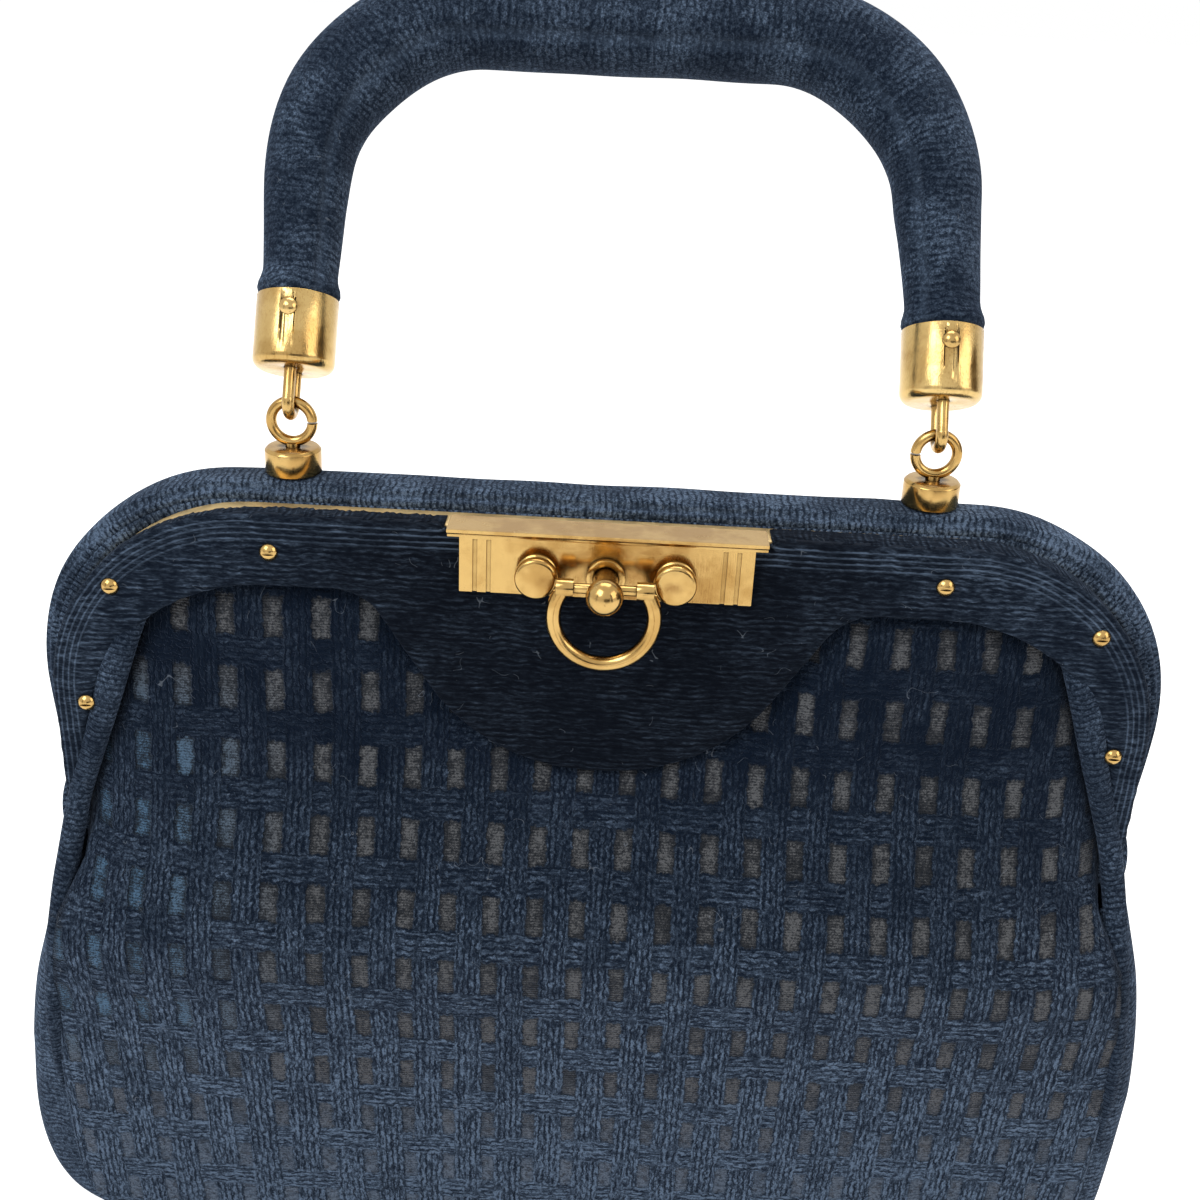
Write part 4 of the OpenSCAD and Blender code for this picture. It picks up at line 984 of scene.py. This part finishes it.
def steel(name):
    n = Nodes(name)
    at = n.scaled(1000, 1000, 1000)
    slow = n.noise(at, 3.0, 3, 0.6)
    colour = n.blend(slow, rgb(0.42, 0.44, 0.46), rgb(0.60, 0.61, 0.62))
    rough = n.span(slow, 0.3, 0.8, 0.22, 0.42)
    return n.finish(colour, rough, n.bump(n.noise(at, 0.3, 2) * 0.02, 0.5), Metallic=1.0)


def satin_lining(name):
    """Dark satin with soft creases, painted lighter on their crests and darker in their hollows, and a fine diagonal
    weave.
    """
    n = Nodes(name)
    across, along = n.parts(n.vector("weave"))[:2]
    crease = n.noise(n.join(across * 0.3, along * 0.08, 0.0), 2.2, 3, 0.55)
    twill = ribs(n, across + along, 0.45, 0.0)
    slow = n.noise(n.vector("rest"), 15.0, 2)
    height = crease * 1.3 + twill * 0.03 + slow * 0.8
    # Painted light and shade on the creases, with the weave's own lines.
    colour = n.blend(crease * 0.6 + twill * 0.25, LINING_DARK, LINING_LIGHT)
    rough = n.span(slow, 0.3, 0.7, 0.36, 0.5)
    sheen = {"Sheen_Weight": 0.25, "Sheen_Roughness": 0.3, "Sheen_Tint": rgb(0.7, 0.6, 0.75)}
    return n.finish(colour, rough, n.bump(height, 0.7), Specular_IOR_Level=0.45, **sheen)


def fibre_board(name):
    n = Nodes(name)
    flecks = n.noise(n.scaled(400, 1600, 1600), 1.0, 4, 0.7)
    colour = n.blend(flecks, rgb(0.035, 0.026, 0.018), rgb(0.16, 0.12, 0.085))
    rough = n.span(n.noise(n.scaled(1000, 1000, 1000), 8.0, 2), 0.3, 0.7, 0.75, 0.92)
    return n.finish(colour, rough, n.bump(flecks * 0.15, 0.8), Specular_IOR_Level=0.25)


def light_wood(name):
    n = Nodes(name)
    grain = n.noise(n.scaled(90, 1300, 1300), 1.0, 4, 0.65)
    pores = n.noise(n.scaled(200, 4000, 4000), 1.0, 2, 0.6)
    colour = n.blend(n.span(grain, 0.3, 0.7), rgb(0.30, 0.17, 0.075), rgb(0.52, 0.33, 0.16))
    colour = n.blend(n.span(pores, 0.62, 0.75), colour, rgb(0.12, 0.06, 0.025))
    rough = n.span(grain, 0.3, 0.7, 0.55, 0.7)
    return n.finish(colour, rough, n.bump(pores * 0.08, 0.7), Specular_IOR_Level=0.35)


def cut_size(w, length):
    """A sheet's flat width and length in metres, with what is turned in on each side."""
    return (w + 2 * TURNING) * MM, (length + 2 * TURNING) * MM


def dress(obj, material, body=None, slot="plain_velvet", fill=None):
    """Give a piece its material, body and slot; one with a fill is padded."""
    obj.data.materials.clear()
    obj.data.materials.append(material)
    if body:
        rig.ride(obj, body)
    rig.slot(obj, slot)
    if fill:
        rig.padded(obj, fill)
    return obj


# Front and rear cloth, side and bottom gussets
opening_line = np.vstack(
    [
        [[OPENING_LOW_W + 3, LEG_FOOT_Z - 8.3]],
        rounded(OPENING_HALF + mirrored(OPENING_HALF), closed=False),
        [[-OPENING_LOW_W - 3, LEG_FOOT_Z - 8.3]],
    ]
)
BELOW_OPENING = [[-123, 60], [123, 60]]


def puff(x, z, front):
    """How far the cloth swells out of the opening in the yoke, which it is tucked behind."""
    flat = np.stack([x.ravel(), z.ravel()], 1)
    line = opening_line if front else opening_line[np.abs(opening_line[:, 0]) > TONGUE_HALF_W]
    free = inside(flat, np.vstack([line, BELOW_OPENING]))
    d = np.where(free, distance(flat, line, closed=False), 0)
    rise = 3.5 * (1 - np.exp(-d / 5.5)) * share(flat[:, 1], 78, 112)
    return rise.reshape(x.shape)


# The padded piping along the front edges: half width in X, height, depth of its crest, half its width
PIPING = np.array(
    [
        [95.6, 176.2, -11.8, 1.6],
        [98.6, 173.2, -12.9, 2.7],
        [101.9, 167.0, -13.9, 3.5],
        [104.8, 158.0, -14.5, 3.3],
        [107.6, 148.5, -14.7, 2.9],
        [111.2, 138.0, -14.9, 2.6],
        [114.9, 127.0, -15.5, 2.5],
        [117.6, 116.0, -17.6, 2.6],
        [119.9, 105.0, -21.0, 2.6],
        [121.6, 94.0, -24.4, 2.5],
        [122.9, 82.0, -26.4, 2.2],
        [123.7, 70.0, -26.3, 1.8],
        [124.0, 60.0, -25.0, 1.3],
        [124.0, 50.0, -23.2, 0.8],
    ]
)


def pattern_edge(z):
    """Half width of the patterned part of the front, inside its piping."""
    up = PIPING[::-1]
    inner = np.interp(z, up[:, 1], up[:, 0] - up[:, 3] * 0.9)
    return np.where(z < 82, np.minimum(cloth_half_w(z) - 0.6 + 30 * share(z, 60, 30), 200), inner)


arc_z = np.linspace(0, 190, 1901)
arc_at = lengths_along(np.stack([arc_z, middle_y(arc_z)], 1))


def cloth_panel(name, side):
    top = SHOULDER_CZ + (SHOULDER_R + TUCK) * math.sin(math.radians(90 * 0.97))
    low_heights = BELLY_Z * (np.arange(47) / 46) ** 2
    heights = np.concatenate([low_heights, np.linspace(BELLY_Z, top, int((top - BELLY_Z) / 1.25))[1:]])
    z, t = np.meshgrid(heights, np.linspace(-1, 1, 221), indexing="ij")
    half = cloth_half_w(z)
    x = t * half
    y = cloth_y(z, t) + puff(x, z, side < 0)
    free = share(z, 20, 60) * share(np.abs(t), 1, 0.9) * share(z, 150, 110)
    y = y + 0.35 * waves(x, z, 2.3 if side < 0 else 4.1, 17) * free
    from_side = share(1.6 - (1 - np.abs(t)) * half, 0, 1.6)
    from_low = share(1.6 - z, 0, 1.6)
    y = y - 1.5 * (1 - np.sqrt(1 - from_side**2)) * share(z, 120, 108)
    y = y - 1.5 * (1 - np.sqrt(1 - from_low**2))
    back = np.minimum(cloth_y(z, t) - CLOTH_T, y - 0.5)
    along = np.interp(z, arc_z, arc_at) - np.interp(ROW_Z, arc_z, arc_at)
    border = pattern_edge(z) - np.abs(x) if side < 0 else np.full_like(x, 20.0)
    outside = np.stack([x, along, border], 2)
    lined = np.stack([x, along, np.full_like(x, LINED)], 2)
    return shell(name, np.stack([x, side * y, z], 2), np.stack([x, side * back, z], 2), outside, lined)


velvet_pattern = patterned_velvet("patterned_velvet")
front_cloth = dress(cloth_panel("front_cloth", -1), velvet_pattern, slot="patterned_velvet")
rear_cloth = dress(cloth_panel("rear_cloth", 1), velvet_pattern, "root", "patterned_velvet")
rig.replaces(front_cloth, "front_panel", "front_panel_upper")
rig.replaces(rear_cloth, "rear_panel")
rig.blend(front_cloth, "root", "front_jaw", start=(0, 0, 0.098), end=(0, 0, 0.130))
panel_l = float(np.interp(OPENING_TOP_Z + TUCK, arc_z, arc_at))
panel_cut = cut_size(2 * PANEL_HALF_W, panel_l)
sides = ["left_gusset_cloth", "right_gusset_cloth"]
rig.sheet(front_cloth, flat=panel_cut, held="stretched", rests_on=["front_frame", *sides])
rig.sheet(rear_cloth, flat=panel_cut, held="stretched", rests_on=["rear_frame", *sides])


def gusset_grid(heights, depth):
    half = seam_half_w(heights)
    d = unit(np.stack([np.gradient(half), np.gradient(heights)], 1))
    nx, nz = d[:, 1], -d[:, 0]
    v = np.linspace(-1, 1, 41)
    rise = GUSSET_BULGE * np.maximum(nx, 0) ** 2 * (1 - 0.45 * share(heights, BELLY_Z, HINGE_Z))
    h = rise[:, None] * np.sqrt(1 - v**4) - depth
    x = half[:, None] + nx[:, None] * h
    y = v * (edge_y(heights) - SEAM_GAP)[:, None]
    z = np.maximum(heights[:, None] + nz[:, None] * h, max(depth, 0))
    run = lengths_along(np.stack([half, heights], 1))[:, None] + 0 * h
    weave = np.stack([y, run, 6 - np.abs(v) * 6 + 0 * h], 2)
    return np.stack([x, y, z], 2), weave


velvet_gusset = plain_velvet("gusset_velvet", 1.5, 0.26, 0.32, 0.25)
GUSSET_TOP_Z = 110.8
low_gusset = BELLY_Z * (np.arange(61) / 60) ** 2
gusset_heights = np.concatenate([low_gusset, np.linspace(BELLY_Z, GUSSET_TOP_Z, 44)[1:]])
for label, sign in (("left", -1), ("right", 1)):
    outer, weave = gusset_grid(gusset_heights, 0)
    inner, _ = gusset_grid(gusset_heights, CLOTH_T)
    from_middle = outer[:, :, 1] / np.abs(outer[:, :, 1]).max(1)[:, None]
    ripple = 0.25 * waves(outer[:, :, 1] * 2, weave[:, :, 1], 1.1 + sign, 12)
    outer[:, :, 0] += ripple * np.sqrt(np.clip(1 - from_middle**2, 0, 1))
    if sign < 0:
        lower = hump(gusset_heights, 34, 26) * share(gusset_heights, 0, 12)
        upper = hump(gusset_heights, 94, 13) * share(gusset_heights, GUSSET_TOP_Z, 100)
        outer[:, 1:-1, 0] += (3.0 * lower - 1.6 * upper)[:, None]
        inner[:, 1:-1, 0] += (3.0 * lower - 1.6 * upper)[:, None]
    outer[:, :, 0] *= sign
    inner[:, :, 0] *= sign
    gusset = dress(shell(f"{label}_gusset_cloth", outer, inner, weave), velvet_gusset, "root")
    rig.replaces(gusset, f"{label}_gusset", f"{label}_gusset_top")
    gusset_cut = cut_size(2 * float(np.max(edge_y(gusset_heights))), float(weave[-1, 0, 1]))
    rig.sheet(gusset, flat=gusset_cut, held="stretched", rests_on=["front_cloth", "rear_cloth"])

base_half_l = float(seam_half_w(0)) - GAP
base_half_w = float(edge_y(0)) - SEAM_GAP
bx, by = np.meshgrid(np.linspace(-1, 1, 61), np.linspace(-1, 1, 17), indexing="ij")
base_weave = np.stack([by * base_half_w, bx * base_half_l, 5 + 0 * bx], 2)
base_lift = 0.5 * (np.abs(by) ** 10 + np.abs(bx) ** 24)
base_outer = np.stack([bx * base_half_l, by * base_half_w, base_lift], 2)
base_inner = np.stack([bx * base_half_l, by * base_half_w, CLOTH_T + 0 * bx], 2)
bottom_cloth = dress(shell("bottom_cloth", base_outer, base_inner, base_weave), velvet_gusset, "root")
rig.replaces(bottom_cloth, "bottom_gusset")
bottom_cut = cut_size(2 * base_half_w, 2 * base_half_l)
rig.sheet(bottom_cloth, flat=bottom_cut, held="stretched", rests_on=["base_board"])

# Lining and its pocket
LINING_OFF = CLOTH_T + GAP
LINING_LOW_Z = CLOTH_T + BOARD_T + GAP


def lining_ring(z, off):
    w = float(seam_half_w(max(z - off, 0))) - off - GAP
    t = np.linspace(-1, 1, 70)
    limit = mix(BELLY_Y, float(edge_y(z)) - off - CLOTH_T / 3, np.abs(t) ** 8)
    y = np.minimum(cloth_y(z, t * w / float(cloth_half_w(z))) - off, limit)
    front = np.stack([t * w, -y, np.full(70, z)], 1)
    return np.concatenate([front, front[::-1] * np.array([1, -1, 1])])


def lining_tub():
    low_heights = mix(LINING_LOW_Z, BELLY_Z, np.linspace(0, 1, 26) ** 2)
    heights = np.concatenate([low_heights, np.linspace(BELLY_Z, FOLD_Z - CLOTH_T, 16)[1:]])
    outer = [lining_ring(z, LINING_OFF) for z in heights]
    inner = [lining_ring(max(z, LINING_LOW_Z + LINING_T), LINING_OFF + LINING_T) for z in heights]
    rings = np.array(outer + inner[::-1])
    run = np.broadcast_to(lengths_along(rings[0]), rings.shape[:2])
    return tube("lining_cloth", rings, np.stack([run, rings[:, :, 2], 0 * run], 2))


satin = satin_lining("lining_satin")
lining = dress(lining_tub(), satin, "root", "lining_satin")
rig.replaces(lining, "lining")
lining_cut = ((4 * PANEL_HALF_W + 60) * MM, (FOLD_Z + BASE_Y + TURNING) * MM)
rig.sheet(lining, flat=lining_cut, held="hung", rests_on=["front_cloth", "rear_cloth"])

pocket_low = BELLY_Z - POCKET_H / 2
pocket_top = pocket_low + POCKET_H
pocket_x = np.linspace(-POCKET_W / 2, POCKET_W / 2, 61)
pz, px = np.meshgrid(np.linspace(pocket_low, pocket_top, 31), pocket_x, indexing="ij")
pocket_back_y = middle_y(pz) - (LINING_OFF + LINING_T + GAP)
pocket_front_y = pocket_back_y - LINING_T - 0.25 * share(pz, pocket_top - 5, pocket_top - 4.2)
pocket_front = np.stack([px, pocket_front_y, pz], 2)
pocket_back = np.stack([px, pocket_back_y, pz], 2)
pocket_shell = shell("pocket_cloth", pocket_front, pocket_back, np.stack([px, pz, 0 * px], 2))
pocket = dress(pocket_shell, satin, "root", "lining_satin")
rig.replaces(pocket, "inner_pocket")
pocket_cut = cut_size(POCKET_W, POCKET_H)
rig.sheet(pocket, flat=pocket_cut, held="stretched", rests_on=["lining_cloth"])

# Piping along the front edges, which bends with the jaw, and velvet pads over the hinges


def smooth_path(keys, step):
    """Rows of values along a smooth line through the key rows, at even steps."""
    at = lengths_along(keys[:, :3])
    dense = np.linspace(0, at[-1], int(at[-1] / step) + 1)
    soft = np.hanning(15) / np.hanning(15).sum()
    columns = [np.pad(np.interp(dense, at, column), 7, "reflect", reflect_type="odd") for column in keys.T]
    return np.stack([np.convolve(column, soft, "valid") for column in columns], 1)


def piping(name, sign):
    line = smooth_path(PIPING[:, [0, 2, 1, 3]], 0.9)
    path = line[:, :3]
    along = unit(np.gradient(path, axis=0))
    out = share(path[:, 2], 124, 85)[:, None] * np.array([[0.75, 0, 0]]) + np.array([[0.0, -1, 0]])
    out = unit(out - np.sum(out * along, axis=1)[:, None] * along)
    run = lengths_along(path)
    angles = full_turn(28)
    shrink = np.sqrt(1 - (1 - np.clip(np.minimum(run, run[-1] - run) / 4, 0.02, 1)) ** 2)[:, None]
    rise = np.sign(np.sin(angles)) * np.abs(np.sin(angles)) ** 0.8 * shrink
    rise = np.where(rise > 0, rise * 2.5, rise * 1.8) - 2.5 * shrink
    rise = rise + 0.16 * waves(run[:, None], angles * 6, 6.1, 5)
    across = np.cos(angles) * line[:, 3:] * shrink
    sideways = np.cross(along, out)
    rings = path[:, None] + out[:, None] * rise[:, :, None] + sideways[:, None] * across[:, :, None]
    return tube(name, rings * np.array([sign, 1, 1]), tube_weave(angles * 4, run[:, None]))


def hinge_pad(name, sign, steps):
    """A round velvet pad about the hinge axis, from (distance past the jaw's side, radius) steps."""
    x, r = np.array(steps).T[:, :, None]
    x = JAW_HALF_W + x + np.zeros(48)
    angles = full_turn(48)
    rings = np.stack([sign * x, PARTING_Y + r * np.cos(angles), HINGE_Z + r * np.sin(angles)], 2)
    return tube(name, rings, np.stack([x, angles * r, NO_EDGE + 0 * x], 2))


velvet_piping = plain_velvet("piping_velvet", 1.35, 0.30, 0.17, 0.20, crack=0.75)
front_pad = [(-4.7, 0.5), (-4.6, 6.4), (-4.2, 7.2), (-3.5, 7.6)]
front_pad += [(-0.7, 7.6), (-0.1, 7.2), (0.15, 6.4), (0.2, 0.5)]
rear_pad = [(0.35, 0.5), (0.4, 6.4), (0.7, 7.2), (1.4, 7.6)]
rear_pad += [(2.8, 7.6), (3.4, 7.3), (3.75, 6.4), (3.8, 0.5)]
for label, sign in (("left", -1), ("right", 1)):
    strip = dress(piping(f"{label}_piping", sign), velvet_piping, fill=0.8)
    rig.blend(strip, "root", "front_jaw", start=(0, 0, 0.098), end=(0, 0, 0.130))
    for place, steps, body in (("front", front_pad, "front_jaw"), ("rear", rear_pad, "root")):
        dress(hinge_pad(f"{label}_{place}_hinge_pad", sign, steps), velvet_gusset, body, fill=0.9)

# Covered yokes
front_arch = arch_line(JAW_HALF_W, JAW_TOP_Z, JAW_CORNER_R, LEG_FOOT_Z)
wide_arch = arch_line(JAW_HALF_W + WRAP_OUT, JAW_TOP_Z + WRAP_OUT, JAW_CORNER_R + WRAP_OUT, LEG_FOOT_Z)
velvet_yoke = plain_velvet("yoke_velvet", 1.5, 0.12, 0.070, 0.08, sheen=0.03, lines=True, combed=0.28)
front_cover = board("front_yoke_cover", front_yoke_loop(front_arch), yoke_low[1], yoke_high[1], wide_arch)
dress(front_cover, velvet_yoke, "front_jaw", fill=0.9)
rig.replaces(front_cover, "front_yoke")

rear_edge = rim_points(LIP_W, LEG_FOOT_Z)
rear_arch = rounded(rear_edge + mirrored(rear_edge), closed=False)
rear_cover = board("rear_yoke_cover", rear_yoke_loop(), rear_yoke_high[1], rear_yoke_low[1], rear_arch)
dress(rear_cover, velvet_yoke, "root", fill=0.9)
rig.replaces(rear_cover, "rear_yoke")


def turned_edge(name, low_x, high_x):
    """The front velvet where it is turned back over the frame's outer wall."""
    line = resampled(front_arch, 0.7)
    normals = outward_normals(line)
    keep = (line[:, 0] > low_x) & (line[:, 0] < high_x)
    line = line[keep]
    x = line[:, :1]
    run = lengths_along(line)[:, None]
    w = WRAP_OUT
    under = 0.12
    section = [(under, 0), (w, 0), (w, 0.5), (w, 0.9), (0.62, 0.97), (0.36, 1), (under, 0.97)]
    off, deep = np.array(section).T
    ragged = 0.45 * np.sin(run * 1.7) * np.sin(run * 0.63) + 0.35 * np.sin(run * 4.1)
    ragged = ragged * (0.3 + 0.7 * lip_bared(x))
    back_y = mix(-4.8, mix(-7.0, -9.4, share(-x, 68, 84)), lip_bared(x)) + ragged - 0.3
    reach = under + (off - under) * (wrapped(x) * 0.9 + 0.1)
    return swept(name, line, normals[keep], reach, mix(-12.6, back_y, deep), deep * 8)


for label, low_x, high_x in (("left", -200, -33), ("right", 33, 200)):
    dress(turned_edge(f"{label}_turned_edge", low_x, high_x), velvet_yoke, "front_jaw", fill=1.0)

# Padded rear rim


def rim_roll():
    """The rim's padded roll: fuller at its corners, flat under the posts and thin down its legs."""
    line = resampled(rear_frame_arch(rim_low[2]), 1.1)
    x, z = line[:, :1], line[:, 1:]
    run = lengths_along(line)[:, None]
    depth = rim_high[1] - rim_low[1]
    angles = full_turn(48)
    across = np.sign(np.cos(angles)) * np.abs(np.cos(angles)) ** 0.62
    raised = np.where(np.sin(angles) > 0, np.abs(np.sin(angles)) ** 0.58, 0)
    crease = hump(angles, math.radians(146), 0.13)
    near_foot = np.minimum(run, run[-1] - run)
    shrink = np.maximum(np.sqrt(1 - (1 - np.clip(near_foot / 3, 0.0, 1)) ** 2), 0.15)
    post_near = hump(np.abs(x), POST_X, 9, 4) * (z > 180)
    top_thickness = 4.4 - 0.5 * share(z, 190, 152) + 0.7 * hump(z, 176, 12)
    thickness = mix(top_thickness, 0.9, share(z, 150, 112) ** 1.15)
    full = np.minimum(thickness / 4, 1)
    soft = 0.22 * waves(run + across * 4, across * 6, 5.2, 7) * (1 - post_near)
    lift = thickness * raised * shrink - np.where(raised > 0.4, (0.2 + soft) * full, 0)
    lift = np.maximum(lift - 0.75 * crease * full, 0)
    y = (rim_high[1] + rim_low[1]) / 2 + across * depth / 2 * 0.985 * shrink + 0.35 * crease
    return swept("rear_rim_roll", line, side_normals(line), lift, y, angles * 5)


def rim_turned_edge():
    """The rim's velvet where it covers the front edge of the frame's wall."""
    line = resampled(rear_frame_arch(LEG_FOOT_Z - 1), 1.1)
    section = [(0.6, -2.68), (0.6, -2.86), (-0.9, -2.94), (-2.0, -2.86)]
    section += [(-2.0, -2.2), (-1.9, -2.2), (-1.9, -2.68)]
    out, y = np.array(section).T
    return swept("rim_turned_edge", line, side_normals(line), out, y, out)


# Painted light and shade: the rim's pile is lighter along its top and darker down its legs.
rim_painted_shade = (125, 192, 0.5, 1.25)
velvet_rim = plain_velvet("rim_velvet", 1.35, 0.24, 0.24, 0.36, 0.85, 0.16, seam=12.75, shade=rim_painted_shade)
rim = dress(rim_roll(), velvet_rim, "root", fill=0.8)
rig.replaces(rim, "rear_rim")
dress(rim_turned_edge(), velvet_rim, "root", fill=1.0)

# Padded handle cover


def handle_tube():
    """The sleeve: full over the grip, drawn into the ferrules, with a seam and the handle's lean."""
    top = FERRULE_LOW + FERRULE_L
    right = [[POST_X, FERRULE_LOW + 3.7, 0], [POST_X, top, 0.01], [POST_X - ARCH_IN, ARCH_H, ARCH_CORNER_R]]
    line = resampled(rounded(right + mirrored(right), closed=False), 1.1)
    normals = side_normals(line)
    for _ in range(2):
        padded = np.pad(normals, ((2, 2), (0, 0)), "edge")
        normals = unit(np.stack([np.convolve(padded[:, k], np.ones(5) / 5, "valid") for k in (0, 1)], 1))
    x, z = line[:, :1], line[:, 1:]
    run = lengths_along(line)[:, None]
    past = z - top
    free = share(past, 1, 6)
    angles = full_turn(56)
    grip = mix(LEG_R, GRIP_R, share(z, top, ARCH_H) ** 0.75)
    bulge = np.where(past > 0.2, 1.25 * hump(past, 1.4, 2.4), 0)
    r = np.where(z <= top, LEG_R, grip + bulge)
    r = r + free * 0.16 * waves(run, angles * 9, 2.2, 6)
    from_seam = np.abs((angles - math.radians(228) + math.pi) % (2 * math.pi) - math.pi) * r
    r = r - free * 0.45 * hump(from_seam, 0, 1.3)
    inner_corner = 1.5 * hump(np.abs(x), 56, 13) * share(z, 42, 60)
    outwards = np.cos(angles) * np.sign(normals[:, :1] * x)
    r = r + inner_corner * np.maximum(-outwards, 0) ** 2
    local_x = x + normals[:, :1] * r * np.cos(angles) - HANDLE_LEFT * share(past, 2, 26)
    local_y = r * np.sin(angles)
    local_z = z + normals[:, 1:] * r * np.cos(angles)
    y = POST_Y + local_y * math.cos(LEAN) + local_z * math.sin(LEAN)
    z = PIVOT_Z - local_y * math.sin(LEAN) + local_z * math.cos(LEAN)
    return tube("handle_sleeve", np.stack([local_x, y, z], 2), tube_weave(angles * 9, run))


velvet_handle = plain_velvet("handle_velvet", 1.55, 0.15, 0.13, 0.22, 0.6, 0.16, seam=35.8)
sleeve = dress(handle_tube(), velvet_handle, "handle", fill=0.9)
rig.replaces(sleeve, "handle_cover")

# Metal, wood and board parts keep their CAD shape
gold = brass("gold_brass", rgb(0.54, 0.35, 0.125))
# The frame takes a rougher copy of the brass, with a lighter tone painted in as light on its lip, which sits in shade.
frame_gold_lightened = brass("frame_brass_lightened", rgb(0.80, 0.60, 0.30), worn=0.25, matt=0.3, crevice_shade=0.2)
finishes = {
    "brass": gold,
    "pale_brass": brass("pale_brass", rgb(0.62, 0.43, 0.17), streak=1.0),
    "spring_steel": steel("spring_steel"),
    "handle_wood": light_wood("handle_wood"),
    "base_board": fibre_board("board_fibre"),
}
slot_of = {part["node"]: part["material_slot"] for part in frame["record"]["subparts"]}
for node_name, node in frame["nodes"].items():
    if node.hide_render:
        continue
    is_frame = node_name == "front_frame"
    node.data.materials.clear()
    node.data.materials.append(frame_gold_lightened if is_frame else finishes.get(slot_of.get(node_name), gold))
    node.modifiers.new("Join", "WELD").merge_threshold = 1e-6
    if node_name not in ("peg_spring", "base_board"):
        bevel = node.modifiers.new("Edges", "BEVEL")
        bevel.width = (0.4 if is_frame else 0.12) * MM
        bevel.segments = 2
        bevel.limit_method = "ANGLE"
        bevel.angle_limit = math.radians(32)
        bevel.use_clamp_overlap = True
    for polygon in node.data.polygons:
        polygon.use_smooth = node_name != "clasp_plate"

# Stage: floor, world, lights, dark cards and camera


def put_in_scene(name, data, place=None, aim=None):
    """A new object, turned from its place towards its aim."""
    made = bpy.data.objects.new(name, data)
    bpy.context.scene.collection.objects.link(made)
    if place:
        made.location = place
        made.rotation_mode = "QUATERNION"
        made.rotation_quaternion = (Vector(aim) - Vector(place)).to_track_quat("-Z", "Y")
    return made


def flat_mesh(name, half_w, half_h, material):
    mesh = bpy.data.meshes.new(name)
    corners = [(-half_w, -half_h, 0), (half_w, -half_h, 0), (half_w, half_h, 0), (-half_w, half_h, 0)]
    mesh.from_pydata(corners, [], [(0, 1, 2, 3)])
    mesh.materials.append(material)
    return mesh


def stage_floor():
    n = Nodes("pale_floor")
    at = n.wire(n.add("ShaderNodeTexCoord"), "Object")
    tone = n.blend(n.noise(at, 0.02, 2), rgb(0.86, 0.86, 0.86), rgb(0.88, 0.88, 0.88))
    diffuse = n.add("ShaderNodeBsdfDiffuse", {"Color": tone})
    glow = n.add("ShaderNodeEmission", {"Strength": n.seen() * 0.66})
    n.output(n.add("ShaderNodeAddShader", {0: n.wire(diffuse), 1: n.wire(glow)}))
    floor = put_in_scene("floor", flat_mesh("floor", 9.0, 9.0, n.owner))
    floor.location.z = -0.0004
    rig.stage(floor)


def stage_world():
    bpy.context.scene.world = bpy.data.worlds.new("studio")
    n = Nodes("studio", bpy.context.scene.world)
    inputs = {"Color": (1, 1, 1, 1), "Strength": n.span(n.seen(), 0, 1, 0.5, 1.0)}
    n.output(n.add("ShaderNodeBackground", inputs), "ShaderNodeOutputWorld")


def area_light(name, place, size, power, colour=(1, 1, 1)):
    data = bpy.data.lights.new(name, "AREA")
    data.shape = "RECTANGLE"
    data.size, data.size_y = size
    data.energy = power
    data.color = colour
    put_in_scene(name, data, place, (0, 0, 0.15))


def dark_card(name, place, aim, size, tone):
    """A dark card out of view, which the polished metal mirrors."""
    n = Nodes(name)
    at = n.wire(n.add("ShaderNodeTexCoord"), "Object")
    n.finish(n.blend(n.noise(at, 0.3, 1), rgb(*tone), rgb(*[c * 1.3 for c in tone])), 0.9)
    card = put_in_scene(name, flat_mesh(name, size[0] / 2, size[1] / 2, n.owner), place, aim)
    card.visible_camera = False
    card.visible_diffuse = False
    card.visible_shadow = False
    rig.stage(card)


def photo_camera():
    azimuth, elevation, roll = (math.radians(a) for a in (0.5, 24, 2.8))
    level = math.cos(elevation)
    back = Vector((math.sin(azimuth) * level, -math.cos(azimuth) * level, math.sin(elevation)))
    right = (-back).cross(Vector((0, 0, 1))).normalized()
    up = right.cross(-back)
    turned_right = math.cos(roll) * right + math.sin(roll) * up
    turned_up = -math.sin(roll) * right + math.cos(roll) * up
    data = bpy.data.cameras.new("camera")
    data.sensor_width = 36
    data.lens = 42.9
    data.clip_start = 0.01
    data.clip_end = 50
    camera = put_in_scene("camera", data)
    turn = Matrix((turned_right, turned_up, back)).transposed().to_4x4()
    camera.matrix_world = Matrix.Translation((0.00137, -0.28485, 0.30105)) @ turn
    bpy.context.scene.camera = camera


bpy.context.scene.view_settings.view_transform = "Standard"
stage_floor()
stage_world()
area_light("key", (-0.9, -1.0, 1.5), (1.0, 1.0), 16, (0.88, 0.95, 1.0))
area_light("fill", (1.3, -0.5, 0.9), (0.9, 0.9), 5, (1.0, 0.94, 0.87))
area_light("top", (0.1, 0.6, 1.7), (1.2, 0.8), 12)
dark_card("front_card", (0.5, -1.7, 0.25), (0, 0, 0.15), (1.2, 0.8), (0.05, 0.035, 0.02))
dark_card("side_card", (1.5, 0.1, 0.35), (0, 0, 0.15), (0.8, 0.9), (0.10, 0.065, 0.03))
dark_card("low_card", (0.015, -0.42, 0.012), (0.015, -0.42, 1.0), (0.08, 0.10), (0.30, 0.14, 0.05))
dark_card("left_strip", (-1.0, -0.9, 0.4), (0, 0, 0.2), (0.16, 1.4), (0.03, 0.022, 0.015))
dark_card("right_strip", (0.95, -0.95, 0.4), (0, 0, 0.2), (0.22, 1.4), (0.03, 0.022, 0.015))
photo_camera()

dressed_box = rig.bounds()
with open("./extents.json", "w") as file:
    json.dump({"cad": [list(c) for c in cad_box], "visual": [list(c) for c in dressed_box]}, file, indent=1)
